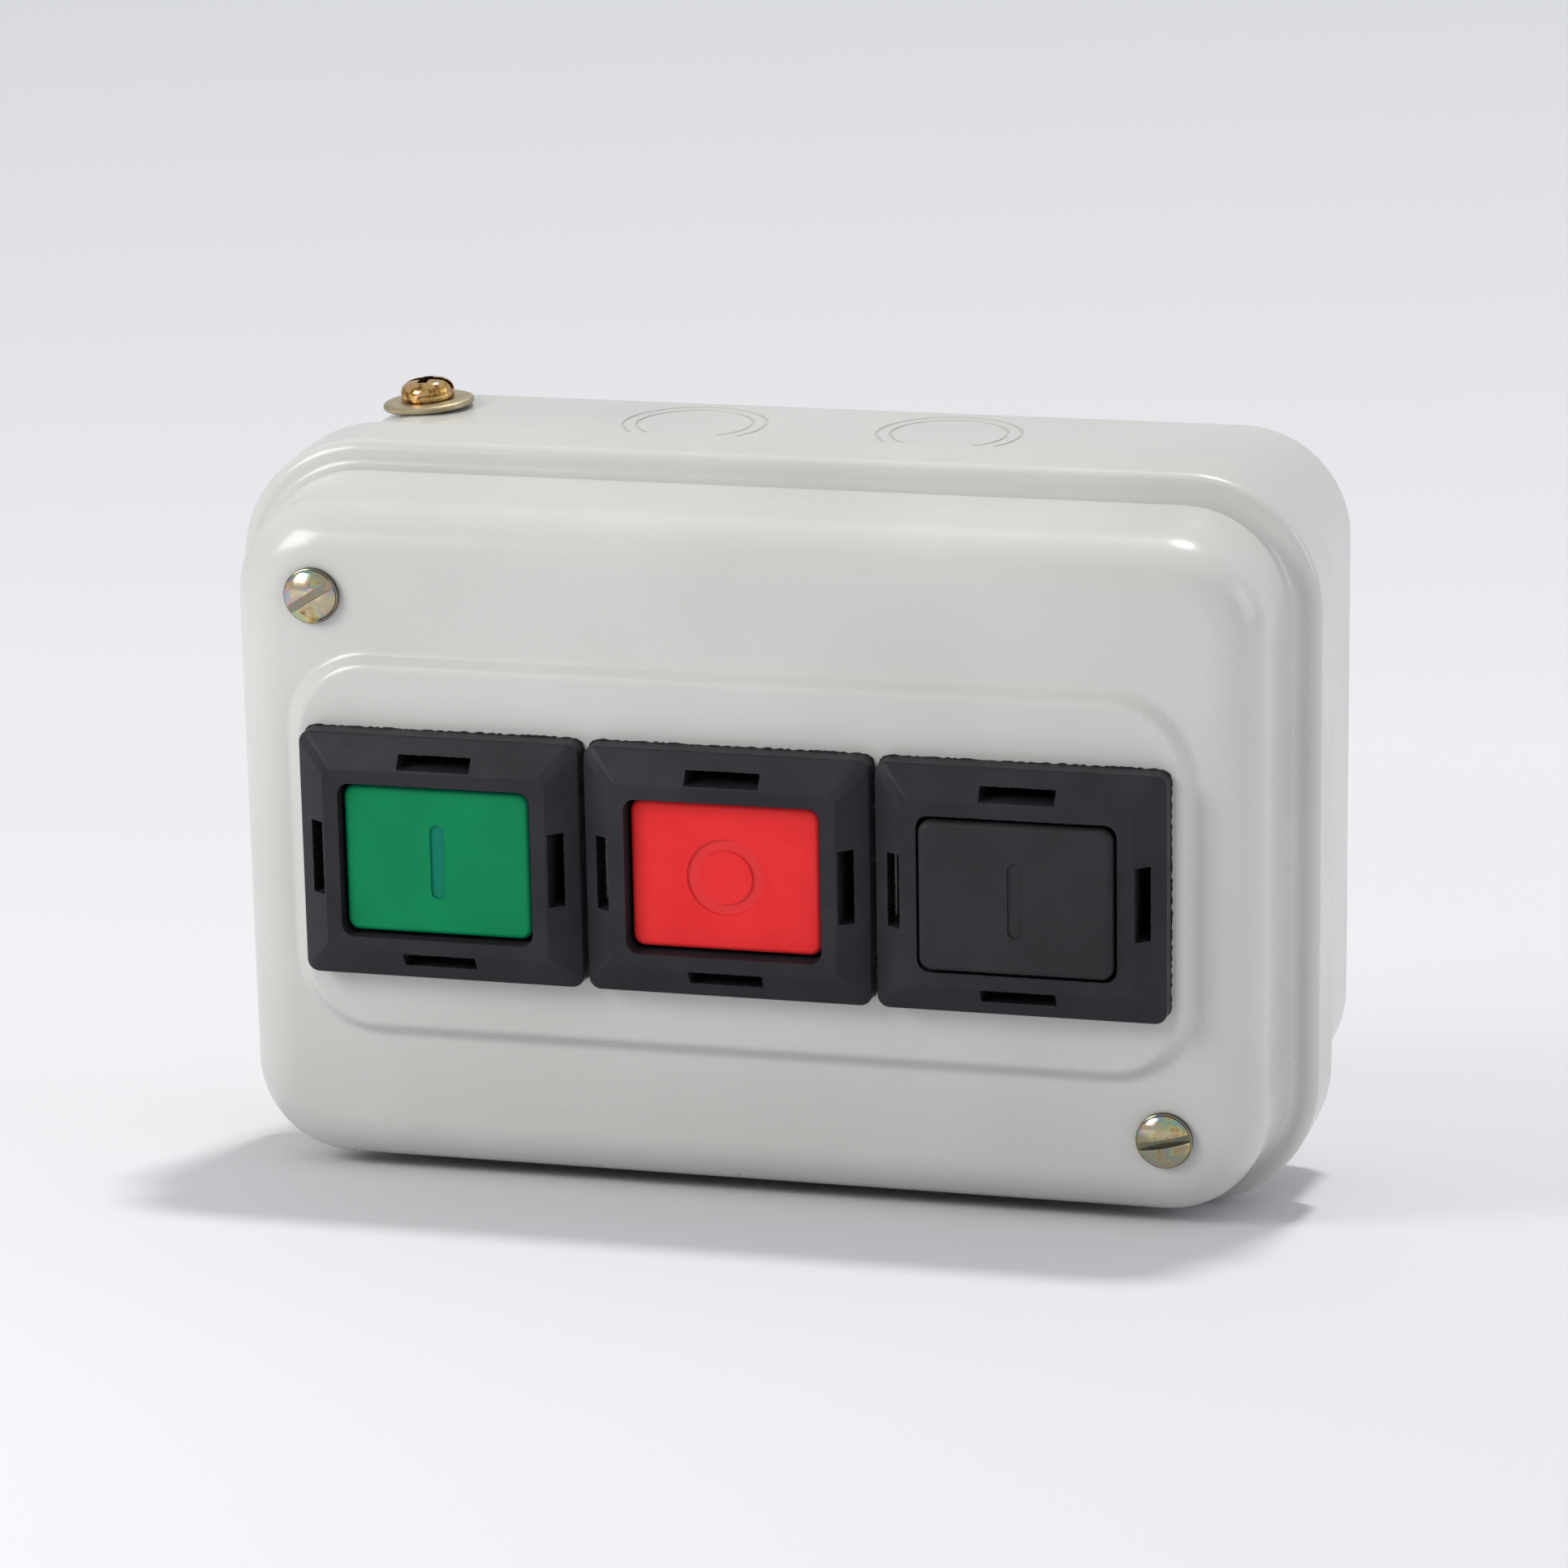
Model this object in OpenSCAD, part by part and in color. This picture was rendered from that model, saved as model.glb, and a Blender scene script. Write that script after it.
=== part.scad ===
// Pushbutton control station in a pressed-steel box: three buttons over three contact blocks.
// Origin at the centre of the wall face, +X to the right, +Y into the wall, +Z up.
// Every piece is drawn lying down, with x to the right, y up the wall and z out of the wall,
// and stood up by outward() at the end. Lengths are in millimetres, angles in degrees.

/* [Enclosure] */
// Distance from the raised panel to the cover's side walls
cover_margin_x = 9.75; // [9.5:0.25:20]
// Distance from the raised panel to the cover's top and bottom walls
cover_margin_y = 21.4; // [20:0.1:32]
// Distance from the wall to the flat field of the cover
box_depth = 67.8; // [67:0.5:80]
// Thickness of the pressed sheet
sheet = 1.2; // [0.9:0.1:1.3]
// Corner radius of the cover seen from the front
corner_r = 14; // [12:0.5:15]
// Radius of the cover's front edge
edge_r = 7.6; // [5:0.2:7.6]
// Lean of the cover's side walls
wall_draft = 4; // [2:0.5:5]
// Distance from the wall to the cover's shoulder
shoulder_up = 46.8; // [44:0.1:50]
// Distance from the wall to the free edge of the cover's rim
rim_up = 35.4; // [32:0.1:38]
// How far the shoulder stands outside the side wall's line
rim_step = 4.8; // [4.7:0.1:5.5]
// Lean of the rim
rim_draft = 1; // [0.5:0.5:4]
// Radius of the hollow between side wall and shoulder
foot_r = 1.6; // [1.2:0.1:2]
// Radius of the shoulder's outer edge
shoulder_r = 1.8; // [1.4:0.1:1.9]

/* [Raised panel] */
// Distance from the row of bezels to the panel's edge, at the middle of its slope, at the sides
panel_margin_x = 2.05; // [1.5:0.05:4]
// The same distance above and below the row
panel_margin_y = 9.5; // [8:0.25:12]
// Corner radius of the raised panel
panel_r = 11; // [8:0.5:14]
// Height of the raised panel above the field
panel_raise = 1.7; // [1.2:0.1:2]
// Radius of the two bends in the panel's slope
blend_r = 1.6; // [1.4:0.1:2]
// Steepness of the panel's slope
panel_slope = 45; // [40:1:60]

/* [Base box] */
// How far the base box's walls stand outside the cover's side wall line
base_offset = 1.8; // [1.5:0.1:1.9]
// Radius between the base box's walls and its back
back_r = 3; // [2:0.25:4]
// Distance from a side wall to the wall fixing holes
fixing_inset_x = 28.65; // [25:0.05:32]
// Distance from the top or bottom wall to the wall fixing holes
fixing_inset_y = 16.6; // [14:0.1:18]
// Radius of a wall fixing hole
fixing_r = 2.75; // [2.25:0.25:3.25]
// Distance between the two knockouts in one wall
knockout_pitch = 38; // [32:1:44]
// Distance from the wall to the knockouts' centres
knockout_up = 15.4; // [14.5:0.5:18]
// Outer radius of the large knockout's groove
knockout_r = 10.75; // [10:0.25:12]
// Outer radius of the small knockout's groove
knockout_small_r = 8.75; // [7:0.25:9]
// Width of a knockout's groove
groove_w = 0.5; // [0.3:0.1:0.7]
// Depth of a knockout's groove
groove_deep = 0.4; // [0.2:0.1:0.6]

/* [Gasket] */
// Thickness of the gasket under the shoulder
gasket_web = 1.5; // [1:0.1:2]
// Thickness of the gasket's outer leg
gasket_out = 1.05; // [0.8:0.05:1.1]
// Thickness of the gasket's inner leg
gasket_in = 1.05; // [0.8:0.05:1.5]
// Depth of the gasket's channel
gasket_deep = 3; // [2:0.5:5]

/* [Screws] */
// Distance from a side wall to a cover screw
screw_inset_x = 13; // [12.5:0.1:14]
// Distance from the top or bottom wall to a cover screw
screw_inset_y = 12.5; // [12:0.1:14]
// Nominal radius of the cover screws and of the earth screw
screw_r = 2; // [1.5:0.25:2.25]
// Radius of a cover screw's head
screw_head_r = 4; // [3.5:0.25:4.5]
// Height of a cover screw's head
screw_head_up = 2.4; // [2:0.1:2.8]
// Length of a cover screw below its head
screw_len = 12; // [10:1:14]
// Turn of the upper left screw's slot
slot_turn_left = 33; // [0:1:180]
// Turn of the lower right screw's slot
slot_turn_right = 13; // [0:1:180]
// Radius of a pillar under a cover screw
pillar_r = 4; // [3.5:0.25:4.5]
// Distance from the wall to the earth screw
earth_up = 11; // [9:0.5:14]
// Lean of the earth screw round the box's corner
earth_lean = 4.5; // [0:0.5:8]
// Radius of the earth screw's washer
earth_washer_r = 6.75; // [6:0.25:7.5]
// Thickness of the earth screw's washer
earth_washer_t = 1.1; // [0.8:0.1:1.5]
// Height of the earth screw's head
earth_head_up = 3.1; // [2.6:0.1:3.6]
// Length of the earth screw below its head
earth_len = 8; // [7.5:0.5:8.5]
// Width of the earth nut across its flats
earth_nut_flats = 7; // [6.5:0.25:8]
// Height of the earth nut
earth_nut_up = 3.2; // [2.4:0.2:3.6]

/* [Bezels] */
// Width of the window for the button
window_w = 28; // [27:0.1:32]
// Height of the window for the button
window_h = 22.4; // [22:0.1:26]
// Width of the bezel's flat ring, at the sides
ring_x = 2.15; // [1.8:0.05:2.4]
// Width of the flat ring, above and below
ring_y = 2; // [1.8:0.05:2.4]
// Width of the bezel's slope, at the sides
slope_x = 4.2; // [3.8:0.1:5]
// Width of the slope, above and below
slope_y = 4.5; // [4:0.1:5]
// Gap between two bezels
bezel_gap = 0.8; // [0.3:0.1:2]
// Corner radius of a bezel
bezel_r = 1.7; // [1:0.1:3]
// Height of the bezel's straight skirt
skirt_up = 3.5; // [2.5:0.1:4]
// Height of the bezel's slope above its skirt
slope_up = 2.8; // [2:0.1:3.5]
// Corner radius of the window
window_r = 1.7; // [1:0.1:2]
// Wall of the guide box behind the window
guide_wall = 2; // [1.6:0.1:2.2]
// Length of the guide box behind the panel
guide_len = 15.5; // [14.5:0.5:16]
// Length of the bezel's mould openings
opening_len = 10.6; // [9:0.1:12]
// Width of the bezel's mould openings
opening_w = 2; // [1.4:0.1:2.1]
// Gap between the ring and a mould opening
opening_gap = 0.25; // [0.1:0.05:0.3]
// Width of a snap wing
wing_w = 10; // [8:0.5:11]
// Thickness of a snap wing
wing_t = 1.5; // [1.2:0.1:1.7]
// How far a snap wing reaches from the guide box
wing_reach = 2.9; // [2.7:0.1:3]
// Length of a snap wing
wing_len = 9; // [7:0.5:10]
// Gap between the guide box and the panel's cut-out
cutout_gap = 2.2; // [2:0.1:2.3]

/* [Buttons] */
// Travel of a button
travel = 4; // [3:0.25:4]
// Gap all round between a button and its window, across
button_gap_x = 0.45; // [0.3:0.05:0.6]
// Gap between a button and its window, up
button_gap_y = 0.55; // [0.3:0.05:0.6]
// Corner radius of a button
button_r = 1.7; // [1.2:0.1:2.5]
// Radius of a button's front edge
button_edge_r = 0.8; // [0.4:0.1:1]
// How far the left button lies below the ring
left_sink = 1.3; // [0:0.1:2]
// How far the middle button lies below the ring
centre_sink = 2; // [0:0.1:2.2]
// How far the right button stands above the ring
right_rise = 1; // [0:0.1:2]
// Wall of a button's skirt
button_wall = 1.6; // [1.2:0.1:2]
// Depth of the spring seat inside a button, below the ring
seat_deep = 4.3; // [4:0.1:5]
// Radius of a button's stem
stem_r = 4.5; // [4:0.1:4.8]
// Length of the bar mark
bar_len = 10.8; // [8:0.1:14]
// Width of the bar mark
bar_w = 2.1; // [1.5:0.1:3]
// Outer radius of the ring mark
mark_out_r = 5.55; // [4:0.05:7]
// Inner radius of the ring mark
mark_in_r = 3.8; // [2:0.05:3.9]
// Depth of the marks
mark_deep = 0.3; // [0.2:0.05:0.5]

/* [Guide plates, clips and return springs] */
// Thickness of the guide plate
plate_t = 2; // [1.6:0.1:2.4]
// Radius of a stake that holds the guide plate
stake_r = 0.7; // [0.5:0.05:0.75]
// Radius of a stake's melted head
stake_head_r = 1; // [0.9:0.05:1]
// Height of a stake's melted head
stake_head_up = 0.6; // [0.4:0.1:0.8]
// Thickness of the retaining clip
clip_t = 0.8; // [0.6:0.1:1]
// Outer radius of the retaining clip
clip_r = 6.2; // [5.6:0.1:6.8]
// Radius of the clip's groove in the stem
clip_groove_r = 3.7; // [3.4:0.1:3.9]
// Radius of the return spring, to the middle of its wire
spring_r = 6.2; // [5.8:0.1:6.6]
// Wire of the return spring
spring_wire = 1; // [0.8:0.1:1.1]
// Turns of the return spring
spring_turns = 6; // [5:1:7]

/* [Contact blocks] */
// Distance from the wall to the front of the mounting rail
rail_up = 10; // [9:0.5:11]
// Thickness of the mounting rail
rail_t = 1.5; // [1.2:0.1:2]
// Height of the mounting rail, up the wall
rail_h = 22; // [18:1:26]
// Length of a foot of the mounting rail
rail_foot = 10; // [9:0.5:11]
// Width of the contact chamber
chamber_w = 15; // [13:0.5:16]
// Height of the contact chamber, up the wall
chamber_h = 22; // [20:0.5:24]
// Thickness of a contact block's side walls, which hold its screws
block_wall = 8; // [7:0.25:9]
// Thickness of the tower's walls above and below the chamber
tower_wall = 2; // [1.5:0.25:3]
// Distance from the tower to a terminal screw
terminal_room = 5; // [4.5:0.25:6]
// Distance from a terminal screw to the end of the block
terminal_edge = 5; // [4.5:0.25:6]
// Width of a contact block's terminal shelves
shelf_w = 26; // [24:0.5:28]
// Thickness of the floor of the contact chamber
floor_t = 6; // [5:0.5:6.5]
// Thickness of the roof of the contact chamber
roof_t = 4.5; // [4:0.25:5]
// Gap between a stem and its plunger at rest
stem_gap = 0.4; // [0.2:0.1:0.6]
// How far a plunger stands out of its block when it is pressed
plunger_left = 0.5; // [0.3:0.1:1]
// Radius of a plunger's front rod
plunger_r = 4; // [3.6:0.1:4.4]
// Radius of a plunger's rear rod
rod_r = 2.5; // [2:0.1:2.8]
// Thickness of a contact bridge
bridge_t = 1.2; // [0.8:0.1:1.4]
// Width of a contact bridge
bridge_w = 8; // [7:0.5:10]
// Gap between the end of a contact bridge and the chamber
bridge_gap = 0.4; // [0.2:0.1:0.6]
// Thickness of a fixed contact's strip
strip_t = 1; // [0.8:0.1:1.1]
// Width of a fixed contact's strip
strip_w = 8; // [7:0.5:9]
// Radius of a fixed contact's tip
tip_r = 1.9; // [1.5:0.1:2]
// Height of a fixed contact's tip
tip_up = 0.6; // [0.4:0.1:0.7]
// Radius of a plunger spring, to the middle of its wire
small_spring_r = 3.6; // [3.3:0.1:4]
// Wire of a plunger spring
small_wire = 0.6; // [0.4:0.05:0.7]
// Turns of a plunger spring
small_turns = 6; // [5:1:7]

/* [Small screws and rivets] */
// Nominal radius of a terminal screw
terminal_r = 1.75; // [1.5:0.25:2]
// Radius of a terminal screw's head
terminal_head_r = 3.2; // [2.8:0.1:3.5]
// Height of a terminal screw's head
terminal_head_up = 2.4; // [2:0.1:2.8]
// Length of a terminal screw below its washer
terminal_len = 9; // [7:0.5:10]
// Side of a terminal screw's square washer
clamp_w = 7.4; // [7:0.1:8]
// Thickness of a terminal screw's square washer
clamp_t = 1; // [0.8:0.1:1.2]
// Nominal radius of a block screw
block_screw_r = 1.5; // [1.25:0.25:1.75]
// Radius of a block screw's head
block_head_r = 2.8; // [2.6:0.1:3]
// Height of a block screw's head
block_head_up = 2; // [1.6:0.1:2.4]
// Height of the seat of a block screw above the rail
block_seat_up = 10; // [8:0.5:12]
// Radius of a rivet's shank
rivet_r = 2; // [1.5:0.25:2.5]
// Radius of a rivet's head
rivet_head_r = 3.6; // [3:0.1:4]
// Height of a rivet's head
rivet_head_up = 1.5; // [1:0.1:2]
// Distance from the middle of the rail to a rivet, up the wall
rivet_y = 6; // [5:0.5:7]

/* [Hidden] */
$fn = 48;
left = -1;
centre = 0;
right = 1;
top = 1;
bottom = -1;
// Cuts overrun a face by this much, and welded plates lap by it
over = 1;
lap = 0.5;
// Clearances: a sliding fit, a screw in its hole, a snug seat and a free play
slide_gap = 0.05;
thread_gap = 0.05;
hole_gap = 0.25;
snug = 0.1;
play = 0.6;
// Points along a quarter bend, along a small bend and round a spring's wire and turn
bend_steps = 9;
small_bend_steps = 5;
wire_sides = 6;
turn_steps = 8;

// Heights out of the wall, worked out from the driving ones
panel_up = box_depth + panel_raise;
seam_up = shoulder_up - sheet;
base_up = seam_up - gasket_web;
skirt_top = panel_up + skirt_up;
ring_up = skirt_top + slope_up;
guide_rear = panel_up - guide_len;
plate_rear = guide_rear - plate_t;
clip_front = plate_rear - snug;
seat_up = ring_up - seat_deep;
button_rear = guide_rear + travel + play;
// The contact side is built down from the stem's end
stem_tail = 3.7;
stem_end = clip_front - clip_t - stem_tail;
plunger_tip = stem_end - stem_gap;
block_up = plunger_tip - travel - plunger_left;
chamber_roof = block_up - roof_t;
chamber_floor = rail_up + floor_t;
bridge_top = chamber_roof - strip_t - snug * 3 - tip_up - snug;
bridge_bottom = bridge_top - bridge_t;
make_shelf = bridge_bottom - travel - snug - tip_up - strip_t;
break_shelf = bridge_top + snug + tip_up;
rod_end = rail_up + travel + play * 2;

// Outlines, from the windows outwards
ring_w = window_w + 2 * ring_x;
ring_h = window_h + 2 * ring_y;
bezel_w = ring_w + 2 * slope_x;
bezel_h = ring_h + 2 * slope_y;
unit_pitch = bezel_w + bezel_gap;
panel_w = 2 * unit_pitch + bezel_w + 2 * panel_margin_x;
panel_h = bezel_h + 2 * panel_margin_y;
body_w = panel_w + 2 * cover_margin_x;
body_h = panel_h + 2 * cover_margin_y;
block_w = chamber_w + 2 * block_wall;
tower_h = chamber_h + 2 * tower_wall;
terminal_y = tower_h / 2 + terminal_room;
block_h = 2 * (terminal_y + terminal_edge);
block_screw_x = (chamber_w + block_wall) / 2;
bridge_len = chamber_h - 2 * bridge_gap;
tip_y = bridge_len / 2 - tip_r;
rail_len = 2 * unit_pitch + block_w;
base_w = body_w + 2 * base_offset;
base_h = body_h + 2 * base_offset;
base_r = corner_r + base_offset;
guide_w = window_w + 2 * guide_wall;
guide_h = window_h + 2 * guide_wall;
cutout_w = guide_w + 2 * cutout_gap;
cutout_h = guide_h + 2 * cutout_gap;
cutout_r = 1.5;
guide_r = 0.8;
button_w = window_w - 2 * button_gap_x;
button_h = window_h - 2 * button_gap_y;
slope_straight = (panel_raise - 2 * blend_r * (1 - cos(panel_slope))) / sin(panel_slope);
slope_run = 2 * blend_r * sin(panel_slope) + slope_straight * cos(panel_slope);
// Screw slots and recesses
slot_w = 1.2;
slot_deep_share = 0.55;
cross_w = 1.5;
cross_len = 4.8;
cross_deep_share = 0.65;
dome_share = 0.35;
head_rim_share = 0.45;
spigot_r = 2.5;
thread_deep = screw_len + over;

// Points on an arc about c
function arc(c, r, a0, a1, n) = [for (i = [0:n]) let (a = a0 + (a1 - a0) * i / n) c + r * [cos(a), sin(a)]];

// Stands a piece that was drawn lying on its back up against the wall
module outward() { rotate([90, 0, 0]) children(); }

// Rectangle with round corners
module round_rect(w, h, r) {
    for (s = [left, right]) for (t = [bottom, top]) translate([s * (w / 2 - r), t * (h / 2 - r)]) circle(r);
    square([w, h - 2 * r], center = true);
    square([w - 2 * r, h], center = true);
}

// Plate with round corners between two heights
module plate(w, h, r, low, high) {
    translate([0, 0, low]) linear_extrude(high - low) round_rect(w, h, r);
}

// Carries a section round a rectangle with round corners; the section's x is measured outwards from its outline
module carried_round(w, h, r, section) {
    for (q = [0:3]) {
        s = (q == 0 || q == 3) ? right : left;
        t = (q < 2) ? top : bottom;
        translate([s * (w / 2 - r), t * (h / 2 - r), 0]) rotate([0, 0, 90 * q])
            rotate_extrude(angle = 90, $fn = 96) translate([r, 0]) polygon(section);
    }
    for (t = [0, 1]) mirror([0, t, 0]) translate([-(w / 2 - r), 0, 0])
        rotate([90, 0, 90]) linear_extrude(w - 2 * r) translate([h / 2, 0]) polygon(section);
    for (s = [0, 1]) mirror([s, 0, 0]) translate([0, h / 2 - r, 0])
        rotate([90, 0, 0]) linear_extrude(h - 2 * r) translate([w / 2, 0]) polygon(section);
}

// Ring of a given section radius range between two heights
module tube(r_out, r_in, low, high) {
    translate([0, 0, low]) difference() {
        cylinder(r = r_out, h = high - low);
        translate([0, 0, -over]) cylinder(r = r_in, h = high - low + 2 * over);
    }
}

// Solid pan head with a low dome, standing on z = 0
module pan_head(r, up) {
    rim = up * head_rim_share;
    rise = up - rim;
    dome_r = (r * r + rise * rise) / (2 * rise);
    sweep = asin(r / dome_r);
    rotate_extrude($fn = 48) polygon(concat([[0, 0], [r, 0]], arc([0, up - dome_r], dome_r, 90 - sweep, 90, bend_steps)));
}

// Least gap between a coil's wire and itself, over pairs of ring centres half a turn or more apart
function coil_gap(r, wire, rise, rings) =
    let (centres = [for (i = [0:rings]) let (a = 360 * i / turn_steps) [r * cos(a), r * sin(a), rise * i / rings]])
    min([for (i = [0:rings - turn_steps / 2]) for (j = [i + turn_steps / 2:rings]) norm(centres[i] - centres[j])]) - wire;

// Helical spring, one unbroken tube of round wire
module coil_spring(r, wire, turns, low, high) {
    rings = turns * turn_steps;
    rise = high - low - wire - 2 * slide_gap;
    pitch_angle = atan(rise / turns / (2 * PI * r));
    points = [for (i = [0:rings]) let (a = 360 * i / turn_steps, z = low + wire / 2 + slide_gap + rise * i / rings)
        for (k = [0:wire_sides - 1]) let (b = 360 * k / wire_sides,
            out = wire / 2 * cos(b), up = wire / 2 * sin(b))
            [(r + out) * cos(a) + up * sin(pitch_angle) * sin(a),
             (r + out) * sin(a) - up * sin(pitch_angle) * cos(a), z + up * cos(pitch_angle)]];
    walls = [for (i = [0:rings - 1]) for (k = [0:wire_sides - 1]) let (n = (k + 1) % wire_sides,
            p = i * wire_sides + k, q = i * wire_sides + n)
        each [[p, p + wire_sides, q + wire_sides], [p, q + wire_sides, q]]];
    first = [for (k = [1:wire_sides - 2]) [0, k, k + 1]];
    last = [for (k = [1:wire_sides - 2]) let (e = rings * wire_sides) [e, e + k + 1, e + k]];
    echo(least_gap_of_coil = coil_gap(r, wire, rise, rings));
    polyhedron(points, concat(walls, first, last));
}

// Section of the cover from its front edge to the rim
function cover_section() =
    let (
        front_c = [-edge_r, box_depth - edge_r],
        wall_top = front_c + edge_r * [cos(wall_draft), sin(wall_draft)],
        foot_height = shoulder_up + foot_r - foot_r * sin(wall_draft),
        foot_x = wall_top.x + (wall_top.y - foot_height) * tan(wall_draft) + foot_r * cos(wall_draft),
        foot_c = [foot_x, shoulder_up + foot_r],
        shoulder_c = [rim_step - shoulder_r, shoulder_up - shoulder_r],
        rim_top = shoulder_c + shoulder_r * [cos(rim_draft), sin(rim_draft)],
        rim_end = rim_top.x + (rim_top.y - rim_up) * tan(rim_draft)
    )
    concat(
        [[-edge_r - lap, box_depth]],
        arc(front_c, edge_r, 90, wall_draft, bend_steps),
        arc(foot_c, foot_r, 180 + wall_draft, 270, small_bend_steps),
        arc(shoulder_c, shoulder_r, 90, rim_draft, small_bend_steps),
        [[rim_end, rim_up], [rim_end - sheet / cos(rim_draft), rim_up]],
        arc(shoulder_c, shoulder_r - sheet, rim_draft, 90, 2),
        arc(foot_c, foot_r + sheet, 270, 180 + wall_draft, small_bend_steps),
        arc(front_c, edge_r - sheet, wall_draft, 90, bend_steps),
        [[-edge_r - lap, box_depth - sheet]]
    );

// Section of the slope round the raised panel
function slope_section() =
    let (low_c = [slope_run / 2, box_depth + blend_r], high_c = [-slope_run / 2, panel_up - blend_r])
    concat(
        [[slope_run / 2 + lap, box_depth]],
        arc(low_c, blend_r, 270, 270 - panel_slope, small_bend_steps),
        arc(high_c, blend_r, 90 - panel_slope, 90, small_bend_steps),
        [[-slope_run / 2 - lap, panel_up], [-slope_run / 2 - lap, panel_up - sheet]],
        arc(high_c, blend_r - sheet, 90, 90 - panel_slope, small_bend_steps),
        arc(low_c, blend_r + sheet, 270 - panel_slope, 270, small_bend_steps),
        [[slope_run / 2 + lap, box_depth - sheet]]
    );

// Section of the base box's wall and its bend into the back
function base_section() =
    let (bend_c = [-back_r, back_r])
    concat(
        [[-back_r - lap, 0]],
        arc(bend_c, back_r, 270, 360, bend_steps),
        [[0, base_up], [-sheet, base_up]],
        arc(bend_c, back_r - sheet, 360, 270, bend_steps),
        [[-back_r - lap, sheet]]
    );

// Section of the rubber channel on the base box's edge
function gasket_section() =
    let (inner = -sheet - snug / 2, outer = snug / 2)
    [
        [inner - gasket_in, seam_up], [outer + gasket_out, seam_up],
        [outer + gasket_out, base_up - gasket_deep], [outer, base_up - gasket_deep],
        [outer, base_up], [inner, base_up],
        [inner, base_up - gasket_deep], [inner - gasket_in, base_up - gasket_deep]
    ];

// Places children at the two cover screws: upper left and lower right
module at_pillars(side) {
    translate([side * (body_w / 2 - screw_inset_x), -side * (body_h / 2 - screw_inset_y), 0]) children();
}

// Places children on the earth screw's axis, z outwards from the centre of the corner's bend
module at_earth() {
    translate([-(body_w / 2 - corner_r), body_h / 2 - corner_r, earth_up])
        rotate([0, 0, earth_lean]) rotate([-90, 0, 0]) children();
}

module at_rail_rivets() {
    for (s = [left, right]) for (t = [bottom, top])
        translate([s * (rail_len + rail_foot) / 2, t * rivet_y, 0]) children();
}

module at_block_screws() {
    for (u = [left, centre, right]) for (s = [left, right])
        translate([u * unit_pitch + s * block_screw_x, 0, 0]) children();
}

module base_box() color("lightgray") outward() difference() {
    union() {
        carried_round(base_w, base_h, base_r, base_section());
        plate(base_w - 2 * back_r - lap, base_h - 2 * back_r - lap, base_r - back_r - lap / 2, 0, sheet);
    }
    for (s = [left, right]) for (t = [bottom, top])
        translate([s * (body_w / 2 - fixing_inset_x), t * (body_h / 2 - fixing_inset_y), -over])
            cylinder(r = fixing_r, h = sheet + 2 * over);
    for (s = [left, right]) at_pillars(s) translate([0, 0, -over])
        cylinder(r = spigot_r + thread_gap, h = sheet + 2 * over);
    at_rail_rivets() translate([0, 0, -over]) cylinder(r = rivet_r + thread_gap, h = sheet + 2 * over);
    for (s = [left, right]) for (t = [0, 1]) mirror([0, t, 0])
        translate([s * knockout_pitch / 2, base_h / 2, knockout_up]) rotate([-90, 0, 0])
            for (r = [knockout_r, knockout_small_r]) tube(r, r - groove_w, -groove_deep, over);
    at_earth() translate([0, 0, base_r - sheet - over])
        cylinder(r = screw_r + hole_gap, h = sheet + 2 * over);
}

module front_cover() color("lightgray") outward() difference() {
    union() {
        carried_round(body_w, body_h, corner_r, cover_section());
        difference() {
            plate(body_w - 2 * edge_r - lap, body_h - 2 * edge_r - lap, corner_r - edge_r - lap / 2,
                box_depth - sheet, box_depth);
            plate(panel_w + slope_run + lap, panel_h + slope_run + lap, panel_r + (slope_run + lap) / 2,
                box_depth - sheet - over, box_depth + over);
        }
        carried_round(panel_w, panel_h, panel_r, slope_section());
        plate(panel_w - slope_run - lap, panel_h - slope_run - lap, panel_r - (slope_run + lap) / 2,
            panel_up - sheet, panel_up);
    }
    for (u = [left, centre, right]) translate([u * unit_pitch, 0, 0])
        plate(cutout_w, cutout_h, cutout_r, panel_up - sheet - over, panel_up + over);
    for (s = [left, right]) at_pillars(s) translate([0, 0, box_depth - sheet - over])
        cylinder(r = screw_r + hole_gap, h = sheet + 2 * over);
}

module cover_gasket() color("dimgray") outward() carried_round(base_w, base_h, base_r, gasket_section());

// Threaded pillar, riveted to the back of the base box
module pillar(side) color("silver") outward() at_pillars(side) difference() {
    union() {
        translate([0, 0, sheet]) cylinder(r = pillar_r, h = box_depth - 2 * sheet);
        translate([0, 0, snug]) cylinder(r = spigot_r, h = sheet);
    }
    translate([0, 0, box_depth - sheet - thread_deep]) cylinder(r = screw_r, h = thread_deep + over);
}

module slotted_screw(turn) {
    translate([0, 0, -screw_len]) cylinder(r = screw_r - thread_gap, h = screw_len + snug);
    difference() {
        pan_head(screw_head_r, screw_head_up);
        rotate([0, 0, turn]) translate([-screw_head_r - over, -slot_w / 2, screw_head_up * (1 - slot_deep_share)])
            cube([2 * (screw_head_r + over), slot_w, screw_head_up]);
    }
}

module cover_screws() color("goldenrod") outward() {
    at_pillars(left) translate([0, 0, box_depth]) slotted_screw(slot_turn_left);
    at_pillars(right) translate([0, 0, box_depth]) slotted_screw(slot_turn_right);
}

module earth_screw() color("goldenrod") outward() at_earth() translate([0, 0, base_r + earth_washer_t]) {
    translate([0, 0, -earth_len]) cylinder(r = screw_r - thread_gap, h = earth_len + snug);
    difference() {
        pan_head(screw_head_r, earth_head_up);
        translate([-screw_head_r - over, -slot_w / 2, earth_head_up * (1 - slot_deep_share)])
            cube([2 * (screw_head_r + over), slot_w, earth_head_up]);
        for (a = [0, 90]) rotate([0, 0, a])
            translate([-cross_len / 2, -cross_w / 2, earth_head_up * (1 - cross_deep_share)])
                cube([cross_len, cross_w, earth_head_up]);
    }
}

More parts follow.
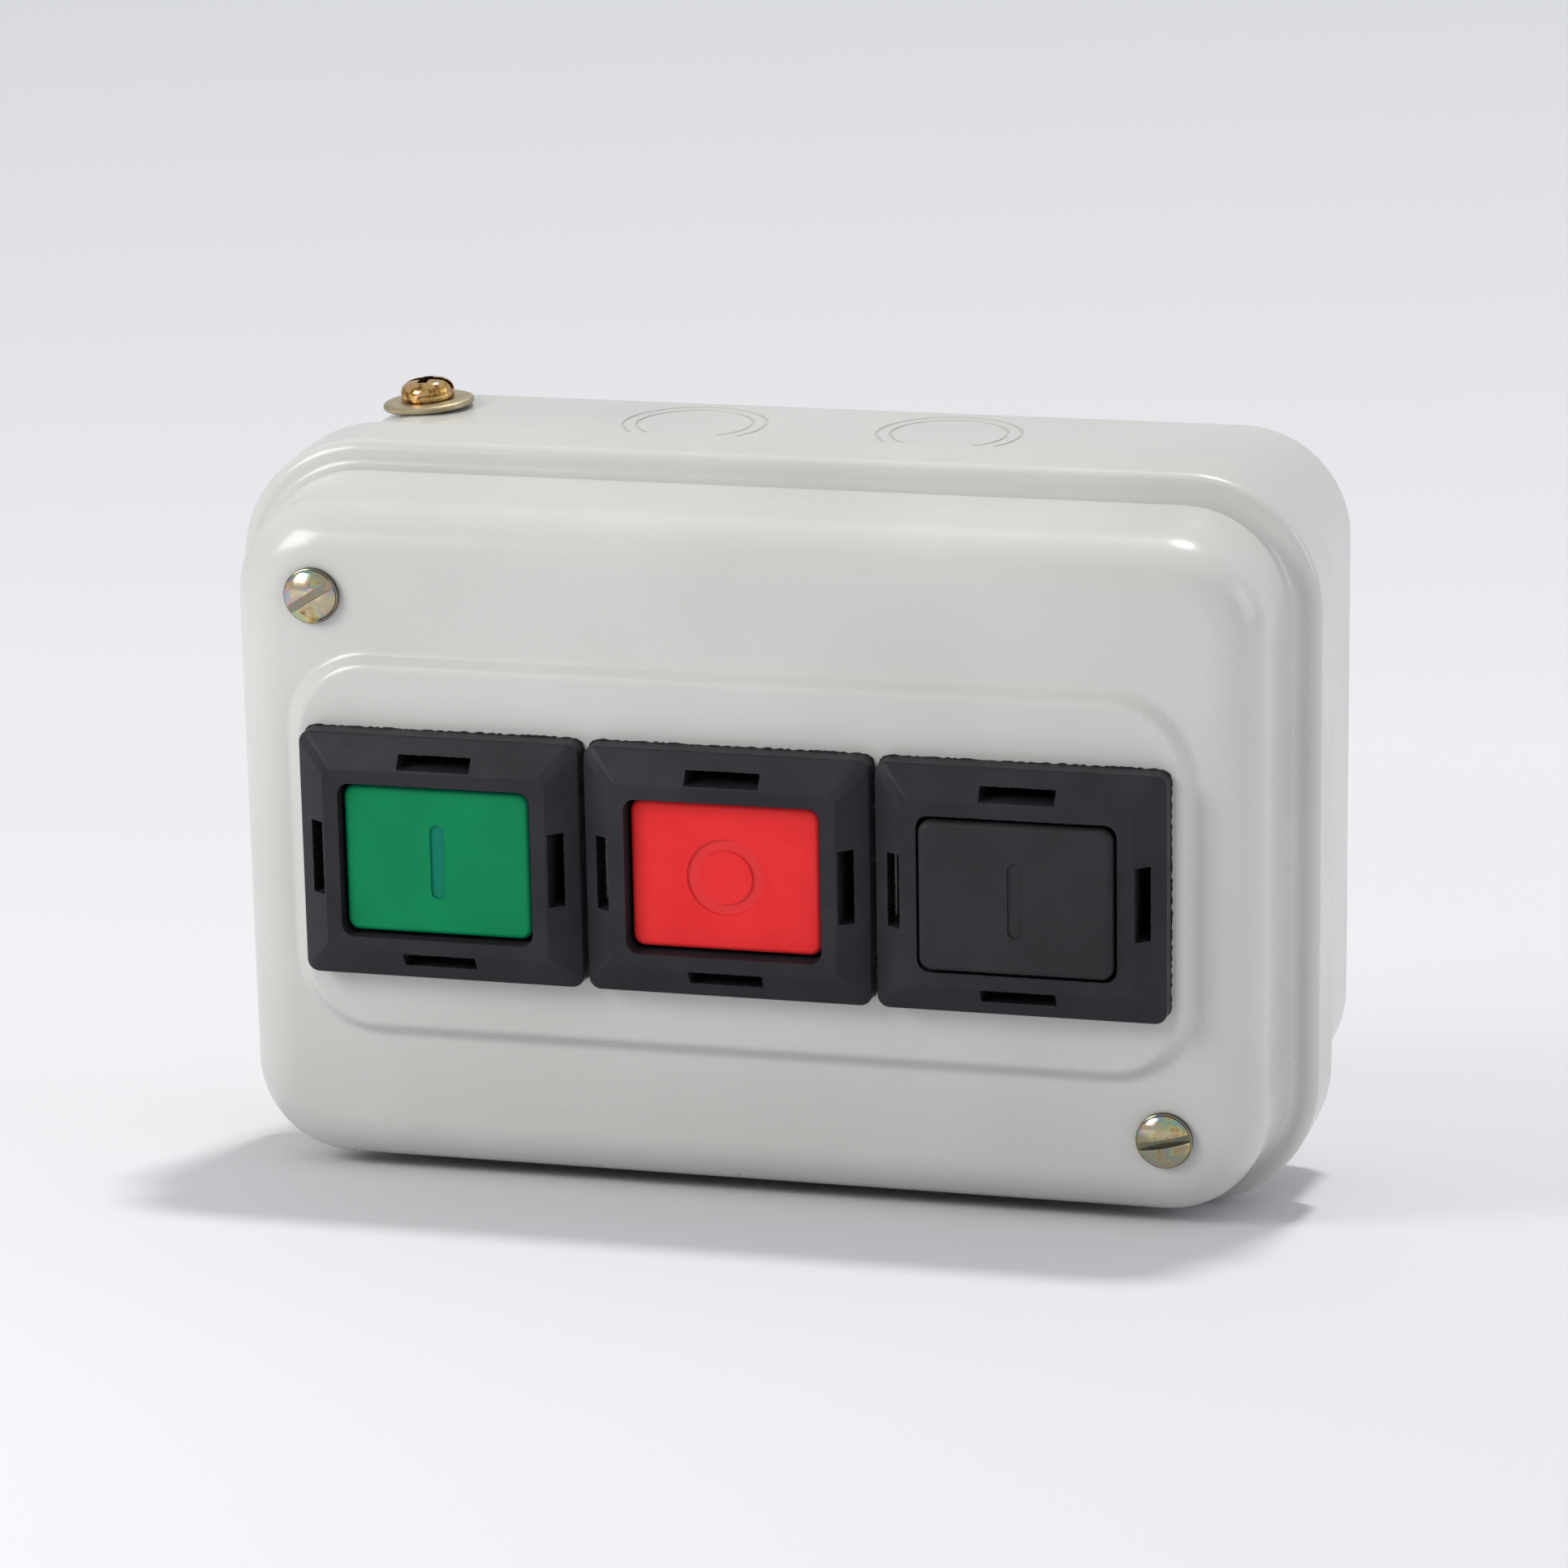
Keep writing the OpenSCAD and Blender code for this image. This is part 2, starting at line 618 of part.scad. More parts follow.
module earth_washer() color("goldenrod") outward() at_earth()
    tube(earth_washer_r, screw_r + hole_gap, base_r, base_r + earth_washer_t);

// The nut stands as high as its corners let it inside the bend
module earth_nut() color("goldenrod") outward() at_earth() {
    nut_r = earth_nut_flats / 2 / cos(30);
    inside_r = base_r - sheet;
    seat = sqrt(inside_r * inside_r - nut_r * nut_r) - snug;
    difference() {
        translate([0, 0, seat - earth_nut_up]) cylinder(r = nut_r, h = earth_nut_up, $fn = 6);
        translate([0, 0, seat - earth_nut_up - over]) cylinder(r = screw_r, h = earth_nut_up + 2 * over);
    }
}

// Hat strip that carries the contact blocks
module mounting_rail() color("silver") outward() difference() {
    union() {
        translate([-rail_len / 2, -rail_h / 2, rail_up - rail_t]) cube([rail_len, rail_h, rail_t]);
        for (s = [0, 1]) mirror([s, 0, 0]) {
            translate([rail_len / 2 - rail_t, -rail_h / 2, sheet]) cube([rail_t, rail_h, rail_up - sheet]);
            translate([rail_len / 2 - rail_t, -rail_h / 2, sheet]) cube([rail_foot + rail_t, rail_h, rail_t]);
        }
    }
    at_rail_rivets() cylinder(r = rivet_r + thread_gap, h = rail_up);
    at_block_screws() cylinder(r = block_screw_r, h = rail_up + over);
}

module rail_rivets() color("silver") outward() at_rail_rivets() {
    translate([0, 0, snug]) cylinder(r = rivet_r, h = sheet + rail_t);
    translate([0, 0, sheet + rail_t]) pan_head(rivet_head_r, rivet_head_up);
}

module block_screws() color("silver") outward() at_block_screws() translate([0, 0, rail_up + block_seat_up]) {
    translate([0, 0, -block_seat_up - rail_t - over])
        cylinder(r = block_screw_r - thread_gap, h = block_seat_up + rail_t + over + snug);
    difference() {
        pan_head(block_head_r, block_head_up);
        translate([-block_head_r - over, -slot_w / 2, block_head_up * (1 - slot_deep_share)])
            cube([2 * (block_head_r + over), slot_w, block_head_up]);
    }
}

// Height of a block's terminal shelves: the stop block's contacts break, the others make
function shelf_up(u) = u == centre ? break_shelf : make_shelf;

module terminal_screws() color("silver") outward()
    for (u = [left, centre, right]) for (t = [bottom, top])
        translate([u * unit_pitch, t * terminal_y, shelf_up(u) + strip_t]) {
            translate([-clamp_w / 2, -clamp_w / 2, 0]) cube([clamp_w, clamp_w, clamp_t]);
            translate([0, 0, -terminal_len]) cylinder(r = terminal_r - thread_gap, h = terminal_len + snug);
            translate([0, 0, clamp_t]) difference() {
                pan_head(terminal_head_r, terminal_head_up);
                translate([-terminal_head_r - over, -slot_w / 2, terminal_head_up * (1 - slot_deep_share)])
                    cube([2 * (terminal_head_r + over), slot_w, terminal_head_up]);
            }
        }

// Four sides of a rectangle, each with its distance from the centre along x
module on_four_sides(w, h) {
    for (q = [0:3]) rotate([0, 0, 90 * q]) translate([(q % 2 == 0 ? w : h) / 2, 0, 0]) children();
}

// Snap wing: grows out of the guide box and catches behind the panel
module snap_wing() {
    tip_up = panel_up - sheet - snug;
    rotate([90, 0, 0]) translate([0, 0, -wing_w / 2]) linear_extrude(wing_w) polygon([
        [-guide_wall / 2, tip_up - wing_len], [0, tip_up - wing_len],
        [wing_reach, tip_up - wing_t], [wing_reach, tip_up],
        [wing_reach - wing_t, tip_up], [0, tip_up - wing_len + 2 * wing_t], [-guide_wall / 2, tip_up - wing_len + 2 * wing_t]
    ]);
}

module bezel(side) color([0.16, 0.16, 0.18]) outward() translate([side * unit_pitch, 0, 0]) difference() {
    union() {
        intersection() {
            plate(bezel_w, bezel_h, bezel_r, panel_up, ring_up);
            rotate([90, 0, 0]) translate([0, 0, -bezel_h / 2 - over]) linear_extrude(bezel_h + 2 * over)
                polygon([[-bezel_w / 2, panel_up], [-bezel_w / 2, skirt_top], [-ring_w / 2, ring_up],
                    [ring_w / 2, ring_up], [bezel_w / 2, skirt_top], [bezel_w / 2, panel_up]]);
            rotate([90, 0, 90]) translate([0, 0, -bezel_w / 2 - over]) linear_extrude(bezel_w + 2 * over)
                polygon([[-bezel_h / 2, panel_up], [-bezel_h / 2, skirt_top], [-ring_h / 2, ring_up],
                    [ring_h / 2, ring_up], [bezel_h / 2, skirt_top], [bezel_h / 2, panel_up]]);
        }
        plate(guide_w, guide_h, guide_r, guide_rear, panel_up + over);
        on_four_sides(guide_w, guide_h) snap_wing();
        for (s = [left, right]) for (t = [bottom, top])
            translate([s * (window_w + guide_wall) / 2, t * (window_h + guide_wall) / 2, 0]) {
                translate([0, 0, plate_rear - slide_gap]) cylinder(r = stake_r, h = plate_t + over);
                translate([0, 0, plate_rear - stake_head_up]) cylinder(r = stake_head_r, h = stake_head_up);
            }
    }
    plate(window_w, window_h, window_r, guide_rear - over, ring_up + over);
    on_four_sides(ring_w + 2 * opening_gap, ring_h + 2 * opening_gap)
        translate([0, -opening_len / 2, panel_up - over]) cube([opening_w, opening_len, ring_up - panel_up + 2 * over]);
}

// How far a button's face lies below the ring; the right one stands above it
function button_sink(u) = u == left ? left_sink : u == centre ? centre_sink : -right_rise;

// Section of a button's rounded edge
function button_section(face) =
    concat(
        [[-button_edge_r - lap, face - button_edge_r - lap], [0, face - button_edge_r - lap]],
        arc([-button_edge_r, face - button_edge_r], button_edge_r, 0, 90, small_bend_steps),
        [[-button_edge_r - lap, face]]
    );

module button(side) {
    face = ring_up - button_sink(side);
    outward() translate([side * unit_pitch, 0, 0]) difference() {
        union() {
            difference() {
                union() {
                    plate(button_w, button_h, button_r, button_rear, face - button_edge_r);
                    carried_round(button_w, button_h, button_r, button_section(face));
                    plate(button_w - 2 * button_edge_r - lap, button_h - 2 * button_edge_r - lap,
                        button_r - button_edge_r - lap / 2, face - button_edge_r - lap, face);
                }
                plate(button_w - 2 * button_wall, button_h - 2 * button_wall, button_r, button_rear - over, seat_up);
            }
            translate([0, 0, stem_end]) cylinder(r = stem_r, h = seat_up - stem_end + over);
        }
        tube(stem_r + over, clip_groove_r, clip_front - clip_t - slide_gap, clip_front + slide_gap);
        if (side == centre)
            tube(mark_out_r, mark_in_r, face - mark_deep, face + over);
        else
            translate([0, 0, face - mark_deep]) {
                translate([-bar_w / 2, -bar_len / 2 + bar_w / 2, 0]) cube([bar_w, bar_len - bar_w, mark_deep + over]);
                for (t = [bottom, top]) translate([0, t * (bar_len - bar_w) / 2, 0])
                    cylinder(r = bar_w / 2, h = mark_deep + over);
            }
    }
}

// Open ring in the stem's groove, behind the guide plate
module stem_clip(side) color("silver") outward() translate([side * unit_pitch, 0, 0]) difference() {
    tube(clip_r, clip_groove_r + slide_gap, clip_front - clip_t, clip_front);
    translate([-clip_groove_r + snug, 0, clip_front - clip_t - over])
        cube([2 * (clip_groove_r - snug), clip_r + over, clip_t + 2 * over]);
}

// Plate on the rear of the guide box, held by four stakes
module guide_plate(side) color([0.2, 0.2, 0.22]) outward() translate([side * unit_pitch, 0, 0]) difference() {
    plate(guide_w, guide_h, guide_r, plate_rear, guide_rear);
    translate([0, 0, plate_rear - over]) cylinder(r = stem_r + slide_gap, h = plate_t + 2 * over);
    for (s = [left, right]) for (t = [bottom, top])
        translate([s * (window_w + guide_wall) / 2, t * (window_h + guide_wall) / 2, plate_rear - over])
            cylinder(r = stake_r + slide_gap, h = plate_t + 2 * over);
}

module return_spring(side) color("silver") outward() translate([side * unit_pitch, 0, 0])
    coil_spring(spring_r, spring_wire, spring_turns, guide_rear, seat_up);

// Moulded block: a tower with the contact chamber, and a shelf for each terminal
module contact_block(side) color("ivory") outward() translate([side * unit_pitch, 0, 0]) difference() {
    shelf = shelf_up(side);
    slot_low = side == centre ? shelf - tip_up - snug : shelf;
    union() {
        translate([-block_w / 2, -tower_h / 2, rail_up]) cube([block_w, tower_h, block_up - rail_up]);
        translate([-shelf_w / 2, -block_h / 2, rail_up]) cube([shelf_w, block_h, shelf - rail_up]);
    }
    translate([-chamber_w / 2, -chamber_h / 2, chamber_floor])
        cube([chamber_w, chamber_h, chamber_roof - chamber_floor]);
    translate([0, 0, chamber_roof - over]) cylinder(r = plunger_r + slide_gap, h = roof_t + 2 * over);
    translate([0, 0, rail_up - over]) cylinder(r = rod_r + slide_gap, h = floor_t + 2 * over);
    translate([-strip_w / 2 - snug, -tower_h / 2 - over, slot_low])
        cube([strip_w + 2 * snug, tower_h + 2 * over, strip_t + tip_up + 2 * snug]);
    for (t = [bottom, top]) translate([0, t * terminal_y, shelf - terminal_len])
        cylinder(r = terminal_r, h = terminal_len + over);
    for (s = [left, right]) translate([s * block_screw_x, 0, 0]) {
        translate([0, 0, rail_up - over]) cylinder(r = block_screw_r + snug, h = block_up);
        translate([0, 0, rail_up + block_seat_up]) cylinder(r = block_head_r + hole_gap, h = block_up);
    }
}

module plunger(side) color("ivory") outward() translate([side * unit_pitch, 0, 0]) {
    translate([0, 0, bridge_top]) cylinder(r = plunger_r, h = plunger_tip - bridge_top);
    translate([0, 0, rod_end]) cylinder(r = rod_r, h = bridge_top - rod_end + snug);
}

module bridge(side) color("orange") outward() translate([side * unit_pitch, 0, 0]) difference() {
    translate([-bridge_w / 2, -bridge_len / 2, bridge_bottom]) cube([bridge_w, bridge_len, bridge_t]);
    translate([0, 0, bridge_bottom - over]) cylinder(r = rod_r + slide_gap, h = bridge_t + 2 * over);
}

module plunger_spring(side) color("silver") outward() translate([side * unit_pitch, 0, 0])
    coil_spring(small_spring_r, small_wire, small_turns, chamber_floor, bridge_bottom);

// Strip on a terminal shelf, with its tip turned to the bridge
module fixed_contact(side, end) color("orange") outward()
    translate([side * unit_pitch, 0, shelf_up(side)]) mirror([0, end == top ? 0 : 1, 0]) {
        inner = tip_y - tip_r;
        difference() {
            translate([-strip_w / 2, inner, 0]) cube([strip_w, block_h / 2 - snug - inner, strip_t]);
            translate([0, terminal_y, -over]) cylinder(r = terminal_r + snug, h = strip_t + 2 * over);
        }
        translate([0, tip_y, side == centre ? -tip_up : strip_t - snug])
            cylinder(r = tip_r, h = tip_up + snug);
    }

base_box();
front_cover();
cover_gasket();
pillar(left);  // pillar_left
pillar(right);  // pillar_right
cover_screws();
earth_screw();
earth_washer();
earth_nut();
mounting_rail();
rail_rivets();
block_screws();
terminal_screws();
bezel(left);  // bezel_left
bezel(centre);  // bezel_centre
bezel(right);  // bezel_right
color([0.02, 0.5, 0.28]) button(left);  // button_left
color([0.9, 0.18, 0.18]) button(centre);  // button_centre
color([0.15, 0.15, 0.17]) button(right);  // button_right
stem_clip(left);  // stem_clip_left
stem_clip(centre);  // stem_clip_centre
stem_clip(right);  // stem_clip_right
guide_plate(left);  // guide_plate_left
guide_plate(centre);  // guide_plate_centre
guide_plate(right);  // guide_plate_right
return_spring(left);  // return_spring_left
return_spring(centre);  // return_spring_centre
return_spring(right);  // return_spring_right
contact_block(left);  // contact_block_left
contact_block(centre);  // contact_block_centre
contact_block(right);  // contact_block_right
plunger(left);  // plunger_left
plunger(centre);  // plunger_centre
plunger(right);  // plunger_right
bridge(left);  // bridge_left
bridge(centre);  // bridge_centre
bridge(right);  // bridge_right
plunger_spring(left);  // plunger_spring_left
plunger_spring(centre);  // plunger_spring_centre
plunger_spring(right);  // plunger_spring_right
fixed_contact(left, top);  // upper_contact_left
fixed_contact(centre, top);  // upper_contact_centre
fixed_contact(right, top);  // upper_contact_right
fixed_contact(left, bottom);  // lower_contact_left
fixed_contact(centre, bottom);  // lower_contact_centre
fixed_contact(right, bottom);  // lower_contact_right
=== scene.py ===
from math import cos, pi, radians, sin, tan

import bmesh
import bpy
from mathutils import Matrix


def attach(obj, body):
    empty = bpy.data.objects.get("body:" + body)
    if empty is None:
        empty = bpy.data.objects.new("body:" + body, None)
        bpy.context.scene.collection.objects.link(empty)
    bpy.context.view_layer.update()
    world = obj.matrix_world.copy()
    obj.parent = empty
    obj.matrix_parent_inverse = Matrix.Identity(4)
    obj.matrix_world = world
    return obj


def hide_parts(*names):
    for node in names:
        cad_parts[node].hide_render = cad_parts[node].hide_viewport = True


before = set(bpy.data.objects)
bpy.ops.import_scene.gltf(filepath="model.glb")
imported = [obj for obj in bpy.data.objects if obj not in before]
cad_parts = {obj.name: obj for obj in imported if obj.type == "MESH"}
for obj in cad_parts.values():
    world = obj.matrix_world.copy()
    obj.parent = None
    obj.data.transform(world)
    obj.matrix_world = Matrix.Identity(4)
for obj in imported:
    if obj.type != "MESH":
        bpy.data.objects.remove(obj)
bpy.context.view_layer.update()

# Base tray. The back half of the enclosure: a deep-drawn tray of 1.2 mm sheet steel, sprayed light grey all over.
# Its edge carries the gasket, its back has holes for the wall screws, pillars and rivets, and the top and bottom
# walls have part-cut knockouts for cable glands. All sizes are in mm, and heights run out of the wall.
MM = 0.001
SHEET = 1.2
BODY_W, BODY_H, CORNER = 147.3, 97.2, 14.0
BASE_OFFSET, BASE_EDGE, BACK_BEND, WALL_RING = 1.8, 44.1, 3.0, 12.0
SCREW_X, SCREW_Z = 60.65, 36.1
WALL_HOLE_R, WALL_HOLE_X, WALL_HOLE_Z = 2.75, 45.0, 32.0
RIVET_HOLE_R, RIVET_X, RIVET_Z = 2.05, 62.0, 6.0
PILLAR_HOLE_R = 2.55
BACK_CUT = (-1, 3)
KNOCKOUT_RINGS, KNOCKOUT_X, KNOCKOUT_UP = (10.75, 8.75), 19, 15.4
GROOVE_W, GROOVE_DEEP = 0.5, 0.22
SIDES = (-1, 1)


def choose(*pieces):
    """Selects these pieces and nothing else, the first one active."""
    bpy.ops.object.select_all(action="DESELECT")
    for piece in pieces:
        piece.select_set(True)
    bpy.context.view_layer.objects.active = pieces[0]


def start_plate(name, width, height, corner, up, steps=8, facing=1, x=0.0, z=0.0):
    """Adds a flat plate with round corners, 'up' mm out of the wall, and leaves it open in edit mode.
    It faces out of the wall, or towards it with facing=-1."""
    bpy.ops.object.select_all(action="DESELECT")
    bpy.ops.mesh.primitive_plane_add(size=1, location=(x * MM, -up * MM, z * MM), rotation=(facing * pi / 2, 0, 0))
    plate = bpy.context.object
    plate.name = plate.data.name = name
    plate.scale = (width * MM, height * MM, 1)
    bpy.ops.object.transform_apply(location=True, rotation=True, scale=True)
    bpy.ops.object.mode_set(mode="EDIT")
    bpy.ops.mesh.select_mode(type="VERT")
    bpy.ops.mesh.select_all(action="SELECT")
    bpy.ops.mesh.bevel(offset=corner * MM, segments=steps, affect="VERTICES")
    bpy.ops.mesh.select_mode(type="FACE")
    bpy.ops.mesh.select_all(action="SELECT")
    return plate


def draw_out(rise):
    """Draws the selected face 'rise' mm out of the wall."""
    bpy.ops.mesh.extrude_region_move(TRANSFORM_OT_translate={"value": (0, -rise * MM, 0)})


def draw_along(section):
    """Draws the selected face along a section of (inwards, forwards) places in mm, from the first one."""
    for (last_in, last_up), (here_in, here_up) in zip(section, section[1:]):
        bpy.ops.mesh.inset(thickness=(here_in - last_in) * MM, depth=(here_up - last_up) * MM)


def bend(middle, radius, start, end, steps):
    """Places on a bend of a section, with angles in degrees."""
    turns = [radians(start + (end - start) * i / steps) for i in range(steps + 1)]
    return [(middle[0] + radius * cos(a), middle[1] + radius * sin(a)) for a in turns]


def pick(kind, test):
    """Selects the faces or edges of the mesh in edit mode whose middle passes the test,
    which gets its x, its height out of the wall and its z in mm."""
    bpy.ops.mesh.select_mode(type=kind)
    bpy.ops.mesh.select_all(action="DESELECT")
    drawn = bmesh.from_edit_mesh(bpy.context.object.data)
    for part in {"EDGE": drawn.edges, "FACE": drawn.faces}[kind]:
        middle = sum((v.co for v in part.verts), part.verts[0].co * 0) / len(part.verts) / MM
        if test(middle.x, -middle.y, middle.z):
            part.select_set(True)
    drawn.select_flush_mode()
    bmesh.update_edit_mesh(bpy.context.object.data)


def close_edit():
    bpy.ops.object.mode_set(mode="OBJECT")


def close_solid():
    """Turns every face of the solid outwards and leaves edit mode."""
    bpy.ops.mesh.select_all(action="SELECT")
    bpy.ops.mesh.normals_make_consistent(inside=False)
    close_edit()


def put_on(piece, kind, **settings):
    """Adds a modifier to the piece and applies it."""
    choose(piece)
    tool = piece.modifiers.new(kind.lower(), kind)
    for key, value in settings.items():
        setattr(tool, key, value)
    bpy.ops.object.modifier_apply(modifier=tool.name)


def cut(piece, tool, operation="DIFFERENCE"):
    """Cuts the piece with a tool, or welds the tool to it, and clears the tool away."""
    put_on(piece, "BOOLEAN", operation=operation, solver="EXACT", object=tool)
    bpy.data.objects.remove(tool, do_unlink=True)


def join(pieces):
    choose(*pieces)
    bpy.ops.object.join()
    return pieces[0]


def prism(name, width, height, corner, low, high, x=0.0, z=0.0, steps=6):
    """A closed bar with round corners between two heights out of the wall."""
    bar = start_plate(name, width, height, corner, low, steps, 1, x, z)
    draw_out(high - low)
    close_solid()
    return bar


def rod(name, radius, low, high, x=0.0, z=0.0, sides=48):
    """A closed round bar between two heights out of the wall."""
    bpy.ops.object.select_all(action="DESELECT")
    bpy.ops.mesh.primitive_cylinder_add(vertices=sides, radius=radius * MM, depth=(high - low) * MM,
                                        location=(x * MM, -(low + high) / 2 * MM, z * MM), rotation=(pi / 2, 0, 0))
    bar = bpy.context.object
    bar.name = bar.data.name = name
    bpy.ops.object.transform_apply(location=True, rotation=True, scale=True)
    return bar


def groove_ring(radius, x, z):
    """A ring to cut a round groove into the tray's top or bottom wall."""
    rings = []
    for r, high in ((radius, 2 * GROOVE_DEEP), (radius - GROOVE_W, 4 * GROOVE_DEEP)):
        bpy.ops.object.select_all(action="DESELECT")
        bpy.ops.mesh.primitive_cylinder_add(vertices=96, radius=r * MM, depth=high * MM,
                                            location=(x * MM, -KNOCKOUT_UP * MM, z * MM))
        bpy.ops.object.transform_apply(location=True, rotation=True, scale=True)
        rings.append(bpy.context.object)
    cut(*rings)
    return rings[0]


def finish_shape(piece, edge, rounds=2, smooth=35, sharp=40):
    """Breaks the sharp edges by a small radius in mm and sets the shading. The two angles are in degrees."""
    put_on(piece, "BEVEL", width=edge * MM, segments=rounds, limit_method="ANGLE", angle_limit=radians(sharp),
           use_clamp_overlap=True)
    choose(piece)
    bpy.ops.object.shade_smooth_by_angle(angle=radians(smooth))
    put_on(piece, "WEIGHTED_NORMAL", keep_sharp=True, weight=60)


class Socket:
    """A shader value that can be reckoned with: each step adds a Math node."""

    def __init__(self, finish, socket):
        self.finish, self.socket = finish, socket

    def reckon(self, operation, *values):
        return self.finish.node("Math", {"operation": operation}, dict(enumerate(values)))

    def __rsub__(self, other):
        return self.reckon("SUBTRACT", other, self)

    def __mul__(self, other):
        return self.reckon("MULTIPLY", self, other)

    def __gt__(self, other):
        return self.reckon("GREATER_THAN", self, other)


class Finish:
    """A material with its nodes. Fixed values go straight onto the shader's own sockets."""

    def __init__(self, name, **fixed):
        self.material = bpy.data.materials.new(name)
        self.material.use_nodes = True
        self.tree = self.material.node_tree
        self.shader = self.tree.nodes["Principled BSDF"]
        self.place = self.node("TexCoord", output="Object")
        self.set(**fixed)

    def node(self, kind, settings={}, values={}, output=0):
        made = self.tree.nodes.new("ShaderNode" + kind)
        for key, value in settings.items():
            if key == "stops":
                stops = made.color_ramp.elements
                while len(stops) < len(value):
                    stops.new(1)
                for stop, (position, colour) in zip(stops, value):
                    stop.position, stop.color = position, (*colour, 1)
            else:
                setattr(made, key, value)
        for key, value in values.items():
            self.feed(made.inputs[key], value)
        return Socket(self, made.outputs[output])

    def feed(self, socket, value):
        if isinstance(value, Socket):
            self.tree.links.new(value.socket, socket)
        elif isinstance(value, tuple) and len(socket.default_value) == 4:
            socket.default_value = (*value, 1)
        else:
            socket.default_value = value

    def set(self, **values):
        for key, value in values.items():
            self.feed(self.shader.inputs[key.replace("_", " ")], value)

    def noise(self, size, detail=2.0, roughness=0.5, shift=0.0, stretch=None):
        """Cloudy noise from 0 to 1 whose clouds are about 'size' mm across."""
        place = self.place
        if shift or stretch:
            place = self.node("Mapping", {}, {"Vector": place, "Location": (shift, shift, shift),
                                              "Scale": stretch or (1.0, 1.0, 1.0)})
        return self.node("TexNoise", {}, {"Vector": place, "Scale": 1 / (size * MM), "Detail": detail,
                                          "Roughness": roughness}, "Fac")

    def cells(self, size, output="Distance"):
        """Round cells about 'size' mm apart: the distance to their middles, or a colour for each."""
        return self.node("TexVoronoi", {"feature": "F1"}, {"Vector": self.place, "Scale": 1 / (size * MM)}, output)

    def height(self):
        """The height out of the wall in mm."""
        return self.node("SeparateXYZ", {}, {"Vector": self.place}, "Y") * -1000

    def steep(self, low, high):
        """1 where a face turns its side to the front, and 0 where it faces out of the wall or into it."""
        way = self.node("NewGeometry", output="True Normal")
        across = self.node("SeparateXYZ", {}, {"Vector": way}, "Y")
        return 1 - self.band(across.reckon("ABSOLUTE", across), low, high)

    def band(self, value, low, high, to_low=0.0, to_high=1.0):
        """Spreads low..high of a value over to_low..to_high, and holds it there."""
        return self.node("MapRange", {"clamp": True}, {"Value": value, "From Min": low, "From Max": high,
                                                       "To Min": to_low, "To Max": to_high})

    def wander(self, clouds, low=0.0, high=1.0):
        """A value that drifts between two ends as the clouds do."""
        return self.band(clouds, 0.3, 0.7, low, high)

    def blend(self, mask, first, second):
        return self.node("Mix", {"data_type": "RGBA", "blend_type": "MIX"}, {0: mask, 6: first, 7: second}, 2)

    def mottle(self, clouds, first, second):
        """A colour that drifts between two as the clouds do."""
        return self.blend(self.wander(clouds), first, second)

    def bumps(self, *layers):
        """Bump nodes one after another, each from a height and its depth in mm."""
        normal = None
        for height, depth in layers:
            values = {"Height": height, "Distance": depth * MM, "Strength": 1.0}
            if normal:
                values["Normal"] = normal
            normal = self.node("Bump", {}, values, "Normal")
        self.set(Normal=normal)

    def onto(self, piece):
        piece.data.materials.clear()
        piece.data.materials.append(self.material)
        for face in piece.data.polygons:
            face.material_index = 0


# Sprayed and baked enamel: glossy, with fine orange peel, a slow waviness and a few specks of dust.
ENAMEL_GREY = (0.600, 0.594, 0.568)
ENAMEL_SHADE = (0.560, 0.556, 0.530)
SPECK_GRID, SPECK_COLOUR = 5.5, (0.12, 0.11, 0.10)

enamel = Finish("enamel", Specular_IOR_Level=0.5, Coat_Weight=0.35, Coat_Roughness=0.12, Coat_IOR=1.5)
speck = 1 - enamel.band(enamel.cells(SPECK_GRID), 0.014, 0.024)
chance = enamel.node("SeparateColor", {}, {"Color": enamel.cells(SPECK_GRID, "Color")}, "Red")
colour = enamel.blend(enamel.band(enamel.noise(34, 2), 0.35, 0.65), ENAMEL_GREY, ENAMEL_SHADE)
enamel.set(Base_Color=enamel.blend(speck * (chance > 0.8) * 0.75, colour, SPECK_COLOUR),
           Roughness=enamel.wander(enamel.noise(9, 3), 0.26, 0.34))
enamel.bumps((enamel.noise(18, 1, shift=3.0), 0.06), (enamel.noise(1.5, 3, 0.55), 0.010))

base = start_plate("base_tray", BODY_W + 2 * BASE_OFFSET, BODY_H + 2 * BASE_OFFSET, CORNER + BASE_OFFSET,
                   BASE_EDGE, 12, -1)
draw_along([(0, 0), (0, WALL_RING)] + bend((BACK_BEND, BASE_EDGE - BACK_BEND), BACK_BEND, 180, 90, 9))
close_edit()
put_on(base, "SOLIDIFY", thickness=SHEET * MM, offset=-1, use_even_offset=True)
for s in SIDES:
    for t in SIDES:
        cut(base, rod("wall_hole", WALL_HOLE_R, *BACK_CUT, s * WALL_HOLE_X, t * WALL_HOLE_Z))
        cut(base, rod("rivet_hole", RIVET_HOLE_R, *BACK_CUT, s * RIVET_X, t * RIVET_Z))
    cut(base, rod("pillar_hole", PILLAR_HOLE_R, *BACK_CUT, s * SCREW_X, -s * SCREW_Z))
    for t in SIDES:
        for radius in KNOCKOUT_RINGS:
            cut(base, groove_ring(radius, s * KNOCKOUT_X, t * (BODY_H / 2 + BASE_OFFSET)))
finish_shape(base, 0.18, 2, 32)
enamel.onto(base)
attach(base, "enclosure")
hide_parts("base_box")

